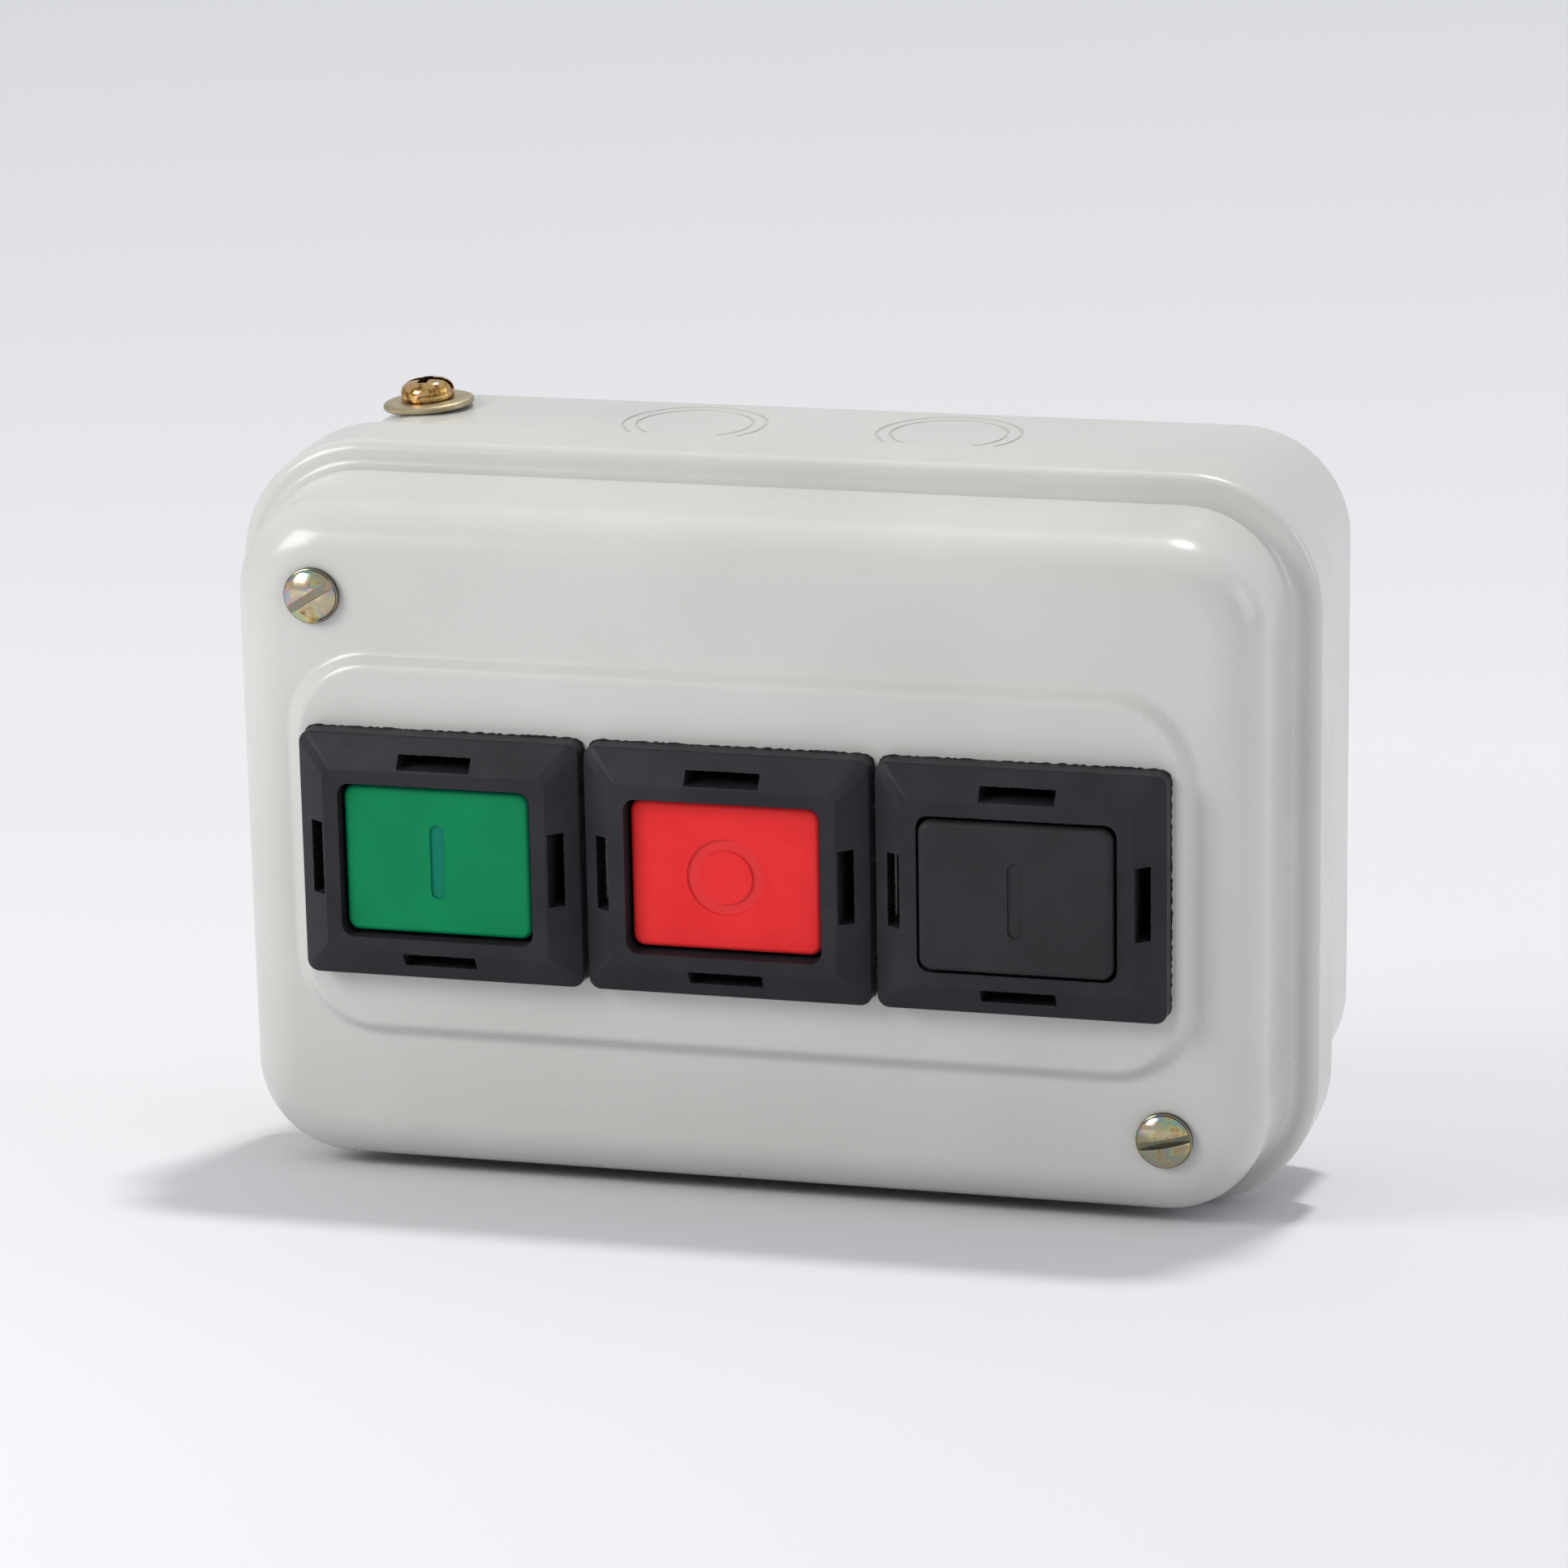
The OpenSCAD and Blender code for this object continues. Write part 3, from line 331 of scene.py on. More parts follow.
# Gasket and pillars. A channel of black rubber pushed over the tray's edge keeps the cover's shoulder tight. Two
# turned steel pillars, bright zinc with small crystals and faint wiping marks, are riveted to the back and take the
# cover screws.
rubber = Finish("gasket_rubber", Specular_IOR_Level=0.35)
rubber.set(Base_Color=rubber.mottle(rubber.noise(6), (0.018, 0.018, 0.019), (0.034, 0.033, 0.032)),
           Roughness=rubber.wander(rubber.noise(1.5), 0.62, 0.8))
rubber.bumps((rubber.noise(0.3), 0.004))
rubber.onto(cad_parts["cover_gasket"])

zinc = Finish("bright_zinc", Metallic=0.95)
zinc.set(Base_Color=zinc.mottle(zinc.noise(4, 3), (0.60, 0.61, 0.62), (0.74, 0.74, 0.72)),
         Roughness=zinc.wander(zinc.noise(2.2, 3), 0.24, 0.42))
zinc.bumps((zinc.cells(0.8), 0.003), (zinc.noise(0.5, stretch=(1.0, 6.0, 1.0)), 0.002))
for name in ("pillar_left", "pillar_right"):
    zinc.onto(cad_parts[name])

# Earth terminal. A pan-head machine screw with a combination slot and cross clamps the earth wire under a plain
# washer on the tray's corner. Both are yellow-passivated steel: the head is tumbled bright, the washer is satin.
# Inside, a hexagon nut of the same finish is welded to the wall.
EARTH_LEAN = radians(4.5)
EARTH_AT = (-(BODY_W / 2 - CORNER), -11.0, BODY_H / 2 - CORNER)
EARTH_HEAD_H, WASHER_H, WASHER_BORE_R = 3.1, 1.1, 2.25
SLOT_LONG, SLOT_W, CROSS_LONG, CROSS_W, EARTH_TOOL = 10, 1.2, 4.8, 1.5, 3.4
SLOT_SHARE, CROSS_SHARE = 0.45, 0.35


def turned(name, section):
    """A round piece standing on the world's middle, closed, drawn up its section of (radius, height) in mm."""
    bpy.ops.object.select_all(action="DESELECT")
    bpy.ops.mesh.primitive_circle_add(vertices=64, radius=section[0][0] * MM, fill_type="NGON",
                                      location=(0, 0, section[0][1] * MM))
    piece = bpy.context.object
    piece.name = piece.data.name = name
    bpy.ops.object.transform_apply(location=True, rotation=True, scale=True)
    bpy.ops.object.mode_set(mode="EDIT")
    bpy.ops.mesh.select_mode(type="FACE")
    bpy.ops.mesh.select_all(action="SELECT")
    for (last_r, last_up), (here_r, here_up) in zip(section, section[1:]):
        bpy.ops.mesh.extrude_region_move(TRANSFORM_OT_translate={"value": (0, 0, (here_up - last_up) * MM)})
        share = here_r / last_r
        bpy.ops.transform.resize(value=(share, share, 1), center_override=(0, 0, here_up * MM))
    close_solid()
    return piece


def bar_at(name, size, middle, turn=0.0):
    """A bar of a given size in mm, turned about the world's upright."""
    bpy.ops.object.select_all(action="DESELECT")
    bpy.ops.mesh.primitive_cube_add(size=1, location=[v * MM for v in middle], rotation=(0, 0, turn))
    bar = bpy.context.object
    bar.name = name
    bar.scale = [v * MM for v in size]
    bpy.ops.object.transform_apply(location=True, rotation=True, scale=True)
    return bar


def stand(piece, place, rotation):
    """Puts a finished piece where it belongs and writes the place into its mesh."""
    choose(piece)
    piece.location, piece.rotation_euler = place, rotation
    bpy.ops.object.transform_apply(location=True, rotation=True, scale=True)


def stand_on_corner(piece, reach):
    """Stands a piece square on the tray's round corner, 'reach' mm from the middle of its bend."""
    x, y, z = EARTH_AT
    place = (x - reach * sin(EARTH_LEAN), y, z + reach * cos(EARTH_LEAN))
    stand(piece, [v * MM for v in place], (0, -EARTH_LEAN, 0))


def passivated_finish(name, stops, drift_size, shift, rough, wash=None, slot_floor=None):
    """Yellow passivate on zinc: a thin film whose tint shifts in patches, brightly polished by tumbling.
    A wash pales it in places. Below the height of the slot's floor it is darkened as painted shade, and faces turned
    to the side go near-black: painted shade on the slot walls and a painted dark reflection on the head's steep
    flanks."""
    film = Finish(name, Metallic=1.0)
    drift = film.noise(drift_size, 3, 0.6, shift)
    tint = film.node("ValToRGB", {"stops": stops}, {"Fac": drift}, "Color")
    if wash:
        pale = film.band(film.noise(drift_size * 1.4, 2, shift=shift + 9), 0.4, 0.62, 0.0, 0.9)
        tint = film.blend(pale, wash, tint)
    if slot_floor:
        # Painted shade: the slot's floor and the head below that height, down to the cover, are darkened towards dark
        # brown.
        tint = film.blend(film.band(film.height(), slot_floor, slot_floor + 0.1, 0.55, 0), tint, (0.10, 0.07, 0.05))
        # Painted shade on the slot walls and painted dark reflection on the steep flanks: faces turned to the side go
        # near-black.
        tint = film.blend(film.steep(0.3, 0.7) * 0.9, tint, (0.03, 0.025, 0.02))
    film.set(Base_Color=tint, Roughness=film.wander(film.noise(0.8, 3, shift=shift + 2), *rough))
    film.bumps((film.noise(1.1, 2, shift=shift + 7), 0.008),
               (film.noise(0.14, 2, stretch=(1.0, 1.0, 3.0)), 0.0012))
    return film


earth_screw = turned("earth_screw_head", [
    (1.95, -8.0), (1.95, 0.0), (3.7, 0.001), (4.0, 0.3), (4.0, 1.15), (3.94, 1.6), (3.75, 2.05), (3.4, 2.45),
    (2.9, 2.78), (2.2, 2.98), (1.2, 3.08), (0.3, EARTH_HEAD_H)])
cut(earth_screw, bar_at("slot", (SLOT_LONG, SLOT_W, EARTH_TOOL), (0, 0, EARTH_HEAD_H * SLOT_SHARE + EARTH_TOOL / 2)))
for turn in (0, pi / 2):
    cut(earth_screw, bar_at("cross", (CROSS_LONG, CROSS_W, EARTH_TOOL),
                            (0, 0, EARTH_HEAD_H * CROSS_SHARE + EARTH_TOOL / 2), turn))
finish_shape(earth_screw, 0.12, 3, 34, 36)
stand_on_corner(earth_screw, CORNER + BASE_OFFSET + WASHER_H)
golden = passivated_finish("yellow_passivate_bright", [
    (0.34, (0.12, 0.06, 0.02)), (0.42, (0.40, 0.20, 0.06)), (0.49, (0.66, 0.44, 0.15)),
    (0.55, (0.74, 0.42, 0.27)), (0.61, (0.50, 0.54, 0.14)), (0.70, (0.70, 0.48, 0.22))], 1.9, 1.0, (0.08, 0.16))
golden.onto(earth_screw)
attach(earth_screw, "enclosure")
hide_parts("earth_screw")

earth_washer = turned("earth_washer_ring", [
    (6.0, 0.0), (6.5, 0.08), (6.75, 0.32), (6.75, 0.72), (6.55, 0.98), (6.2, WASHER_H), (3.0, WASHER_H),
    (2.3, WASHER_H)])
cut(earth_washer, turned("washer_bore", [(WASHER_BORE_R, -1.0), (WASHER_BORE_R, 3.0)]))
finish_shape(earth_washer, 0.06, 2, 34, 50)
stand_on_corner(earth_washer, CORNER + BASE_OFFSET)
satin = Finish("yellow_passivate_satin", Metallic=0.85)
satin.set(Base_Color=satin.mottle(satin.noise(3.5, 3), (0.36, 0.30, 0.18), (0.48, 0.41, 0.28)),
          Roughness=satin.wander(satin.noise(1.5, 3), 0.36, 0.52))
satin.bumps((satin.noise(0.35, 2), 0.006), (satin.noise(1.8, 1), 0.012))
satin.onto(earth_washer)
satin.onto(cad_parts["earth_nut"])
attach(earth_washer, "enclosure")
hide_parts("earth_washer")

# Rail, rivets and small screws. A hat strip of zinc-plated steel, riveted through the back, carries the three
# contact blocks. Each block has two slotted screws into the rail and two clamp screws for wires.
for name in ("mounting_rail", "rail_rivets", "block_screws", "terminal_screws"):
    zinc.onto(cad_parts[name])

# Contact blocks. Moulded in thermoset, off-white with darker flow and chopped fibre. The plunger in each is the same
# material; its bridge and the two fixed contacts are stamped brass, and a steel spring drives it back.
UNITS = {"left": -1, "centre": 0, "right": 1}


def moulding_finish(name, light, dark, shift):
    block = Finish(name, Specular_IOR_Level=0.4)
    fibre = block.noise(0.5, 3, 0.6, shift, (1.0, 4.0, 1.0))
    block.set(Base_Color=block.mottle(block.noise(7, 3, shift=shift), light, dark),
              Roughness=block.wander(fibre, 0.42, 0.58))
    block.bumps((fibre, 0.004), (block.noise(0.22), 0.002))
    return block


thermoset = moulding_finish("thermoset", (0.60, 0.55, 0.44), (0.48, 0.43, 0.34), 2.0)
slide = moulding_finish("plunger_moulding", (0.68, 0.64, 0.55), (0.60, 0.55, 0.46), 6.0)
brass = Finish("contact_brass", Metallic=1.0)
brass.set(Base_Color=brass.mottle(brass.noise(3, 3), (0.76, 0.56, 0.25), (0.60, 0.42, 0.18)),
          Roughness=brass.wander(brass.noise(1.2, 3), 0.22, 0.4))
brass.bumps((brass.noise(0.4, stretch=(8.0, 1.0, 1.0)), 0.002))
wire = Finish("spring_steel", Metallic=1.0)
wire.set(Base_Color=wire.mottle(wire.noise(2), (0.42, 0.42, 0.43), (0.55, 0.55, 0.55)),
         Roughness=wire.wander(wire.noise(0.7, 3), 0.24, 0.4))
wire.bumps((wire.noise(0.25), 0.0015))
for side in UNITS:
    thermoset.onto(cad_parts["contact_block_" + side])
    slide.onto(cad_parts["plunger_" + side])
    for name in ("bridge_", "upper_contact_", "lower_contact_"):
        brass.onto(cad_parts[name + side])
    for name in ("plunger_spring_", "return_spring_", "stem_clip_"):
        wire.onto(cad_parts[name + side])

# Front cover. Pressed from the same 1.2 mm sheet: a rounded front with a raised panel for the buttons, drafted walls,
# a shoulder that sits on the gasket and a rim that laps the tray. Sprayed with the same enamel.
FIELD_UP, PANEL_UP = 67.8, 69.5
PANEL_W, PANEL_H, PANEL_R = 127.8, 54.4, 11.0
FRONT_BEND, DRAFT, RIM_UP, RIM_DRAFT = 7.6, 4.0, 35.4, 1.0
SHOULDER_UP, SHOULDER_BEND, FOOT_BEND, RIM_STEP = 46.8, 1.8, 1.6, 4.8
STEP_R, STEP_SLOPE, STEP_ANGLE = 1.6, 0.3814, 45
CUTOUT_W, CUTOUT_H, CUTOUT_R, SCREW_HOLE_R = 36.4, 30.8, 1.5, 2.25
FRONT_CUT = (60, 75)
PITCH = 41.5

front = bend((-FRONT_BEND, FIELD_UP - FRONT_BEND), FRONT_BEND, DRAFT, 90, 10)
foot_up = SHOULDER_UP + FOOT_BEND * (1 - sin(radians(DRAFT)))
foot_x = front[0][0] + (front[0][1] - foot_up) * tan(radians(DRAFT)) + FOOT_BEND * cos(radians(DRAFT))
shoulder = bend((RIM_STEP - SHOULDER_BEND, SHOULDER_UP - SHOULDER_BEND), SHOULDER_BEND, RIM_DRAFT, 90, 6)
rim_out = shoulder[0][0] + (shoulder[0][1] - RIM_UP) * tan(radians(RIM_DRAFT))
foot = bend((foot_x, SHOULDER_UP + FOOT_BEND), FOOT_BEND, 270, 180 + DRAFT, 6)
section = [(rim_out, RIM_UP)] + shoulder + foot + front
cover = start_plate("cover_shell", BODY_W + 2 * rim_out, BODY_H + 2 * rim_out, CORNER + rim_out, RIM_UP, 14)
draw_along([(-out, up) for out, up in section])
close_edit()
step_out = STEP_R * sin(radians(STEP_ANGLE)) + STEP_SLOPE
step = bend((step_out, FIELD_UP + STEP_R), STEP_R, 270, 270 - STEP_ANGLE, 5) \
    + bend((-step_out, PANEL_UP - STEP_R), STEP_R, STEP_ANGLE, 90, 5)
panel = start_plate("cover_panel", PANEL_W + 2 * step[0][0], PANEL_H + 2 * step[0][0], PANEL_R + step[0][0],
                    FIELD_UP, 14)
draw_along([(-out, up) for out, up in step])
close_edit()
cover = join([cover, panel])
bpy.ops.object.mode_set(mode="EDIT")
pick("FACE", lambda x, up, z: abs(up - FIELD_UP) < 0.02 and abs(x) < 0.5 and abs(z) < 0.5)
bpy.ops.mesh.delete(type="ONLY_FACE")
pick("EDGE", lambda x, up, z: abs(up - FIELD_UP) < 0.001)
bpy.ops.mesh.bridge_edge_loops(type="SINGLE", number_cuts=0)
close_solid()
put_on(cover, "SOLIDIFY", thickness=SHEET * MM, offset=-1, use_even_offset=True)
for u in UNITS.values():
    cut(cover, prism("panel_cutout", CUTOUT_W, CUTOUT_H, CUTOUT_R, *FRONT_CUT, u * PITCH))
for s in SIDES:
    cut(cover, rod("screw_hole", SCREW_HOLE_R, *FRONT_CUT, s * SCREW_X, -s * SCREW_Z))
finish_shape(cover, 0.3, 3, 32, 50)
enamel.onto(cover)
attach(cover, "enclosure")
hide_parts("front_cover")

# Cover screws. Two slotted M4 screws with low domed heads, yellow-passivated, upper left and lower right.
# Each head is cut with a saw, so its slot runs right across.
SCREW_HEAD_H, SCREW_TOOL, SLOT_FLOOR = 2.4, 3.0, 68.98

heads = []
for s, slot_turn in ((-1, 33), (1, 13)):
    head = turned("screw_head", [
        (1.95, -12.0), (1.95, 0.0), (3.8, 0.001), (4.0, 0.18), (4.0, 0.9), (3.88, 1.0), (3.8, 1.02), (3.76, 1.26),
        (3.6, 1.42), (3.2, 1.66), (2.5, 1.96), (1.6, 2.22), (0.7, 2.36), (0.2, 2.39)])
    cut(head, bar_at("slot", (SLOT_LONG, SLOT_W, SCREW_TOOL), (0, 0, SCREW_HEAD_H * SLOT_SHARE + SCREW_TOOL / 2),
                     radians(slot_turn)))
    finish_shape(head, 0.07, 2, 32, 36)
    stand(head, (s * SCREW_X * MM, -FIELD_UP * MM, -s * SCREW_Z * MM), (pi / 2, 0, 0))
    heads.append(head)
heads = join(heads)
heads.name = "cover_screw_pair"
passivate = passivated_finish("yellow_passivate", [
    (0.30, (0.08, 0.06, 0.04)), (0.37, (0.50, 0.34, 0.12)), (0.43, (0.66, 0.58, 0.26)), (0.48, (0.32, 0.52, 0.32)),
    (0.53, (0.24, 0.44, 0.50)), (0.58, (0.62, 0.32, 0.44)), (0.64, (0.70, 0.58, 0.24)), (0.72, (0.80, 0.80, 0.66))],
    2.4, 4.0, (0.12, 0.24), (0.46, 0.40, 0.27), SLOT_FLOOR)
passivate.onto(heads)
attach(heads, "enclosure")
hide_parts("cover_screws")

# Bezels. Three identical frames moulded in black nylon: a skirt, a sloped rim with four mould openings and a flat
# ring round the button. Each drops into its cut-out and is held by snap wings on the guide box behind. The parting
# lines carry a little flash, and four stakes behind hold the guide plate.
BEZEL_W, BEZEL_H, BEZEL_R, RING_W, RING_H, RING_UP = 40.7, 35.4, 1.7, 32.3, 26.4, 75.8
SKIRT_UP, SKIRT_EDGE, EDGE_SHARE_X, EDGE_SHARE_Z = 3.2, 0.3, 0.992, 0.991
WINDOW_W, WINDOW_H, GUIDE_REAR, GUIDE_WALL = 28.0, 22.4, 54.0, 2
OPENING_LONG, OPENING_SHORT, OPENING_OUT, OPENING_R = 10.6, 2.0, 1.25, 0.15
WING_SIZE, WING_AT, WING_LEAN = (1.5, 8.6, 10), (0.75, -63.9, 0), radians(20)
TIP_SIZE, TIP_AT = (1.6, 1.5, 10), (2.1, -67.45, 0)
STAKE_R, STAKE_HEAD_R, STAKE_IN = 0.7, 1.0, 1


def dark_finish(name, deep, light, grain, rough):
    """Black plastic from a spark-eroded mould: fine grain, with scattered dust."""
    dark = Finish(name, Specular_IOR_Level=0.16)
    dust = 1 - dark.band(dark.cells(4.2), 0.010, 0.022)
    colour = dark.mottle(dark.noise(9, 3), deep, light)
    dark.set(Base_Color=dark.blend(dust * 0.5, colour, (0.20, 0.20, 0.21)),
             Roughness=dark.wander(dark.noise(3, 3), rough - 0.05, rough + 0.05))
    dark.bumps((dark.noise(0.32, 2, 0.6), 0.013 * grain), (dark.noise(0.8, 2), 0.008 * grain),
               (dark.noise(12, 1), 0.04))
    return dark


def ragged(name, width, height, corner, low, high, spread, seed, x=0.0, z=0.0):
    """A closed bar between two heights whose outline is cut up small and shaken, as torn plastic is."""
    skin = start_plate(name, width, height, corner, low, 5, 1, x, z)
    bpy.ops.mesh.select_mode(type="EDGE")
    bpy.ops.mesh.select_all(action="DESELECT")
    drawn = bmesh.from_edit_mesh(skin.data)
    for edge in drawn.edges:
        if edge.calc_length() > 5 * MM:
            edge.select_set(True)
    bmesh.update_edit_mesh(skin.data)
    bpy.ops.mesh.subdivide(number_cuts=70)
    bpy.ops.mesh.select_all(action="SELECT")
    bpy.ops.transform.vertex_random(offset=spread * MM, uniform=1.0, normal=0.0, seed=seed)
    drawn = bmesh.from_edit_mesh(skin.data)
    for v in drawn.verts:
        v.co.y = -low * MM
    bmesh.update_edit_mesh(skin.data)
    bpy.ops.mesh.select_mode(type="FACE")
    bpy.ops.mesh.select_all(action="SELECT")
    draw_out(high - low)
    close_solid()
    return skin


def tapered(scale_x, scale_z, rise):
    """Draws the selected face 'rise' mm out of the wall and sizes it."""
    draw_out(rise)
    bpy.ops.transform.resize(value=(scale_x, 1, scale_z), center_override=(0, 0, 0))


bezel = start_plate("bezel_frame", BEZEL_W, BEZEL_H, BEZEL_R, PANEL_UP, 6)
tapered(1, 1, SKIRT_UP)
tapered(EDGE_SHARE_X, EDGE_SHARE_Z, SKIRT_EDGE)
tapered(RING_W / BEZEL_W / EDGE_SHARE_X, RING_H / BEZEL_H / EDGE_SHARE_Z,
        RING_UP - PANEL_UP - (SKIRT_UP + SKIRT_EDGE))
close_solid()
cut(bezel, prism("guide_box", WINDOW_W + 2 * GUIDE_WALL, WINDOW_H + 2 * GUIDE_WALL, 0.8, GUIDE_REAR, PANEL_UP + 1),
    "UNION")
cut(bezel, ragged("parting_flash", BEZEL_W + 0.2, BEZEL_H + 0.2, BEZEL_R, PANEL_UP, PANEL_UP + 0.3, 0.13, 3),
    "UNION")
cut(bezel, ragged("window", WINDOW_W, WINDOW_H, BEZEL_R, 50, 80, 0.035, 9))
for x, z, w, h in ((0, RING_H / 2 + OPENING_OUT, OPENING_LONG, OPENING_SHORT),
                   (0, -RING_H / 2 - OPENING_OUT, OPENING_LONG, OPENING_SHORT),
                   (RING_W / 2 + OPENING_OUT, 0, OPENING_SHORT, OPENING_LONG),
                   (-RING_W / 2 - OPENING_OUT, 0, OPENING_SHORT, OPENING_LONG)):
    cut(bezel, ragged("mould_opening", w, h, OPENING_R, 68.5, 77, 0.05, 5, x, z))
for s in SIDES:
    for side_x, side_z, turn in ((s * (WINDOW_W / 2 + GUIDE_WALL), 0, pi / 2 - s * pi / 2),
                                 (0, s * (WINDOW_H / 2 + GUIDE_WALL), -s * pi / 2)):
        wing = bar_at("snap_wing", WING_SIZE, WING_AT, WING_LEAN)
        cut(wing, bar_at("snap_tip", TIP_SIZE, TIP_AT), "UNION")
        stand(wing, (side_x * MM, 0, side_z * MM), (0, turn, 0))
        cut(bezel, wing, "UNION")
    for t in SIDES:
        x, z = s * (WINDOW_W / 2 + STAKE_IN), t * (WINDOW_H / 2 + STAKE_IN)
        cut(bezel, rod("stake", STAKE_R, 51.5, 55.0, x, z, 16), "UNION")
        cut(bezel, rod("stake_head", STAKE_HEAD_R, 51.4, 52.0, x, z, 16), "UNION")
finish_shape(bezel, 0.12, 2, 32, 28)
black = dark_finish("black_nylon", (0.019, 0.018, 0.022), (0.028, 0.027, 0.033), 1.0, 0.46)
black.onto(bezel)
for side, u in UNITS.items():
    made = bezel.copy()
    made.data = bezel.data.copy()
    made.name = made.data.name = "bezel_frame_" + side
    bpy.context.collection.objects.link(made)
    stand(made, (u * PITCH * MM, 0, 0), (0, 0, 0))
    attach(made, "enclosure")
    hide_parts("bezel_" + side)
    black.onto(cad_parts["guide_plate_" + side])
bpy.data.objects.remove(bezel, do_unlink=True)

# Buttons. Caps moulded in through-coloured plastic, green and black to start and red to stop, with rounded front
# edges and a sunk mark. The stem behind each cap runs through the return spring and the guide plate, and a steel
# clip in its groove holds it in.
BUTTON_W, BUTTON_H, BUTTON_R, BUTTON_REAR, SEAT_UP = 27.1, 21.3, 1.7, 58.6, 71.5
CAP_EDGE, CAP_WALL, HOLLOW_R, MARK_DEEP = 0.8, 1.6, 1.2, 0.3
STEM_R, STEM_REAR, CLIP_GROOVE_R = 4.5, 47.4, 3.7
RING_MARK_R, RING_MARK_IN = 5.55, 3.8
BAR_MARK_W, BAR_MARK_H, BAR_MARK_R = 2.1, 10.8, 1.049


def cap_finish(name, deep, light, floor, face_up):
    """Coloured plastic with fine grain. The sunk mark's floor has its own tint, and faces turned to the side near the
    front, the mark's walls and part of the rounded edge, are darkened towards the deep colour as painted shade.
    """
    cap = Finish(name, Specular_IOR_Level=0.1)
    up = cap.height()
    sunk = cap.band(up, face_up - 0.26, face_up - 0.2, 1, 0)
    front = up > face_up - 0.5
    tint = cap.mottle(cap.noise(8, 3), deep, light)
    tint = cap.blend(sunk * front, tint, floor)
    # Painted shade: faces turned to the side near the front, the sunk mark's walls and part of the rounded edge, are
    # darkened.
    tint = cap.blend(cap.steep(0.35, 0.8) * front * 0.35, tint, deep)
    cap.set(Base_Color=tint, Roughness=cap.wander(cap.noise(2.5, 3), 0.37, 0.48))
    cap.bumps((cap.noise(0.36, 2, 0.6), 0.011), (cap.noise(1.0, 2), 0.008))
    return cap


GREEN_UP, RED_UP, BLACK_UP = 74.5, 73.8, 76.8
green = cap_finish("green_nylon", (0.002, 0.205, 0.074), (0.003, 0.235, 0.088), (0.004, 0.185, 0.115), GREEN_UP)
red = cap_finish("red_nylon", (0.76, 0.026, 0.028), (0.84, 0.034, 0.036), (0.74, 0.040, 0.044), RED_UP)
cap_black = dark_finish("black_cap_nylon", (0.021, 0.020, 0.023), (0.029, 0.028, 0.032), 0.8, 0.48)
for side, colour, face_up, finish in (("left", "green", GREEN_UP, green), ("centre", "red", RED_UP, red),
                                      ("right", "black", BLACK_UP, cap_black)):
    x = UNITS[side] * PITCH
    cap = start_plate("button_cap_" + side, BUTTON_W, BUTTON_H, BUTTON_R, BUTTON_REAR, 8, 1, x)
    draw_out(face_up - CAP_EDGE - BUTTON_REAR)
    draw_along([(CAP_EDGE - out, up) for out, up in bend((0, face_up - CAP_EDGE), CAP_EDGE, 0, 90, 6)])
    close_solid()
    cut(cap, prism("cap_hollow", BUTTON_W - 2 * CAP_WALL, BUTTON_H - 2 * CAP_WALL, HOLLOW_R, BUTTON_REAR - 2,
                   SEAT_UP, x))
    cut(cap, rod("stem", STEM_R, STEM_REAR, SEAT_UP + 0.6, x), "UNION")
    groove = rod("clip_groove", STEM_R + 1.5, 51.05, 51.95, x)
    cut(groove, rod("groove_core", CLIP_GROOVE_R, 50, 53, x))
    cut(cap, groove)
    if colour == "red":
        mark = rod("ring_mark", RING_MARK_R, face_up - MARK_DEEP, face_up + 2, x, sides=80)
        cut(mark, rod("ring_mark_middle", RING_MARK_IN, face_up - 2, face_up + 4, x, sides=80))
    else:
        mark = prism("bar_mark", BAR_MARK_W, BAR_MARK_H, BAR_MARK_R, face_up - MARK_DEEP, face_up + 2, x, steps=10)
    cut(cap, mark)
    finish_shape(cap, 0.16, 3, 32, 36)
    finish.onto(cap)
    colour + "_plastic"
    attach(cap, "push_" + side)
    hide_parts("button_" + side)

# Studio. The box leans forward on its rim and lower front edge, on a pale paper sweep that rises behind it, under one
# soft high lamp from behind, two weak softboxes and even light from all round. The paper's colour is graded as
# painted
# light: lightest just behind the box, darker in front of it and up the rising back. Sizes here are in metres.
FLOOR_TILT, FLOOR_AT = radians(11), (0, -0.045343, -0.053367)
FLOOR_W, FLOOR_LONG = 14, 5
SWEEP_R, SWEEP_FROM, SWEEP_STEPS, SWEEP_STEP = 1.6, 0.7, 24, 3
AIR_COLOUR, AIR_STRENGTH = (0.97, 0.98, 1.0), 0.59
CAMERA_AT, CAMERA_TURN, LENS = (0.209493, -0.848468, 0.249138), (73.626445, 0.987985, 14.248672), 139.4235

bpy.ops.object.select_all(action="DESELECT")
bpy.ops.mesh.primitive_plane_add(size=1)
floor = bpy.context.object
floor.name = "studio_sweep"
floor.scale = (FLOOR_W, FLOOR_LONG, 1)
floor.location = (0, SWEEP_FROM - FLOOR_LONG / 2, 0)
bpy.ops.object.transform_apply(location=True, rotation=True, scale=True)
bpy.ops.object.mode_set(mode="EDIT")
pick("EDGE", lambda x, up, z: up < -600 and abs(x) < 1)
for i in range(SWEEP_STEPS):
    here, there = radians(SWEEP_STEP * i), radians(SWEEP_STEP * i + SWEEP_STEP)
    bpy.ops.mesh.extrude_edges_move(TRANSFORM_OT_translate={"value": (
        0, SWEEP_R * (sin(there) - sin(here)), SWEEP_R * (cos(here) - cos(there)))})
close_solid()
bpy.ops.object.shade_smooth()
stand(floor, FLOOR_AT, (-FLOOR_TILT, 0, 0))
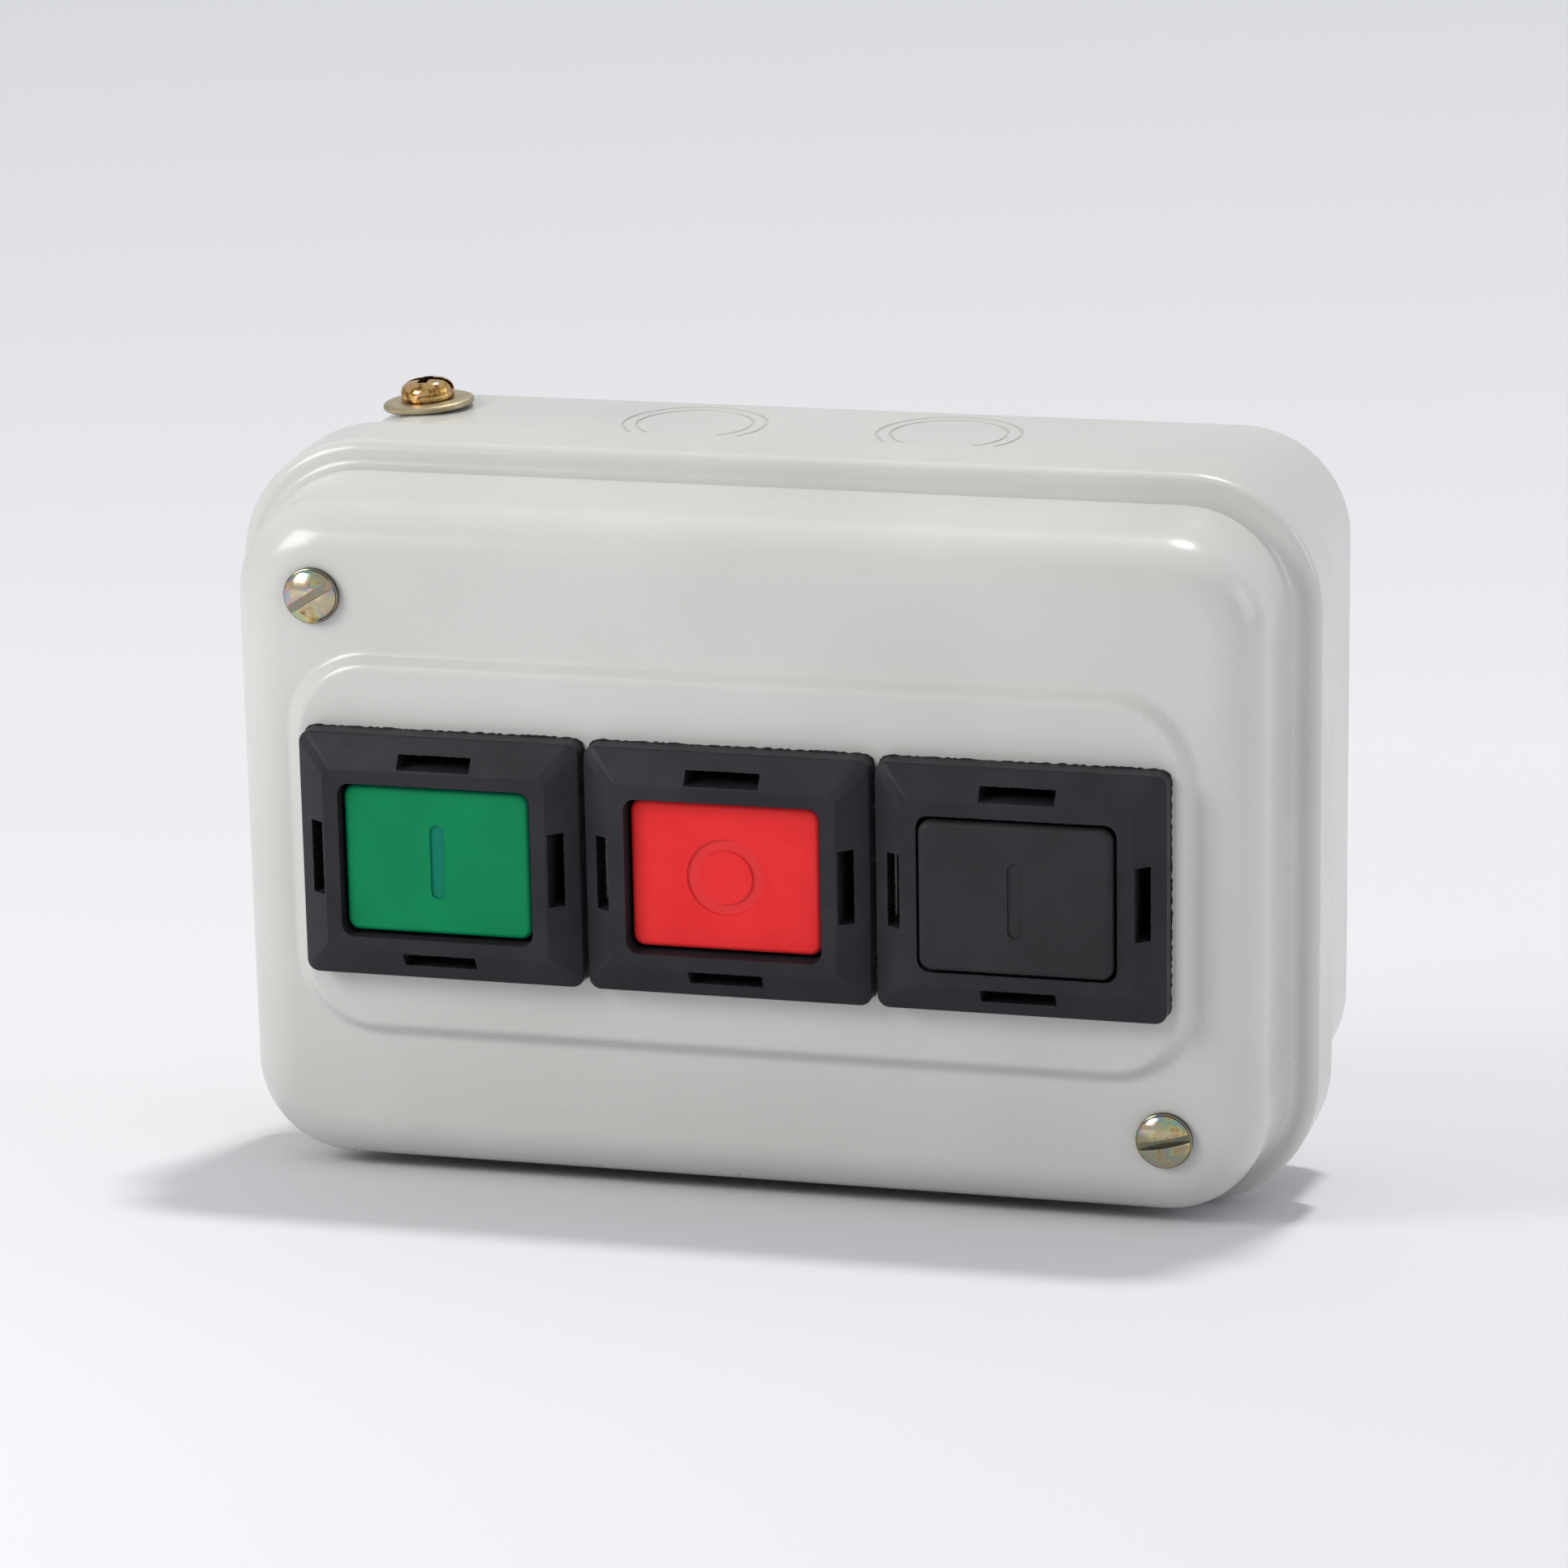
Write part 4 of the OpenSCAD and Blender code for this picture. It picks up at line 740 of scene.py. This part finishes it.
paper = Finish("pale_paper", Specular_IOR_Level=0.2, Roughness=0.7)
back = paper.node("SeparateXYZ", {}, {"Vector": paper.place}, "Y")
# Painted light: the paper's colour is lightest just behind the box and darker in front of it and up the rising back.
paper.set(Base_Color=paper.node("ValToRGB", {"stops": [
    (0.0, (0.68, 0.675, 0.705)), (0.22, (0.69, 0.685, 0.715)), (0.34, (0.76, 0.76, 0.78)),
    (0.55, (0.80, 0.80, 0.82)), (0.8, (0.74, 0.75, 0.78)), (1.0, (0.68, 0.695, 0.73))]},
    {"Fac": paper.band(back, -0.7, 1.8)}, "Color"))
paper.bumps((paper.noise(1.2, 2), 0.01))
paper.onto(floor)

world = bpy.data.worlds.new("studio_air")
bpy.context.scene.world = world
world.use_nodes = True
world.node_tree.nodes["Background"].inputs["Color"].default_value = (*AIR_COLOUR, 1)
world.node_tree.nodes["Background"].inputs["Strength"].default_value = AIR_STRENGTH


def add_lamp(name, kind, power, colour):
    """Hangs a lamp of a kind in the studio and gives back its object and its light."""
    light = bpy.data.lights.new(name, kind)
    light.energy, light.color = power, colour
    lamp = bpy.data.objects.new(name, light)
    bpy.context.collection.objects.link(lamp)
    return lamp, light


lamp, light = add_lamp("high_lamp", "SUN", 1.5, (1.0, 0.99, 0.97))
light.angle = radians(7)
lamp.rotation_euler = (radians(-28.9), 0, radians(-5.1))
for name, place, size, power, colour in (("left_softbox", (-0.42, -0.46, 0.36), 0.28, 2.1, (1.0, 0.99, 0.97)),
                                         ("right_softbox", (1.7, 0.1, 0.55), 0.9, 4.5, (0.88, 0.93, 1.0))):
    lamp, light = add_lamp(name, "AREA", power, colour)
    light.size, lamp.location = size, place
    lamp.rotation_euler = (-lamp.location).to_track_quat("-Z", "Y").to_euler()

camera = bpy.data.objects.new("camera", bpy.data.cameras.new("camera"))
bpy.context.collection.objects.link(camera)
camera.location = CAMERA_AT
camera.rotation_euler = [radians(v) for v in CAMERA_TURN]
camera.data.lens, camera.data.sensor_width, camera.data.clip_end = LENS, 36.0, 40.0
bpy.context.scene.camera = camera
bpy.context.scene.view_settings.view_transform = "Standard"
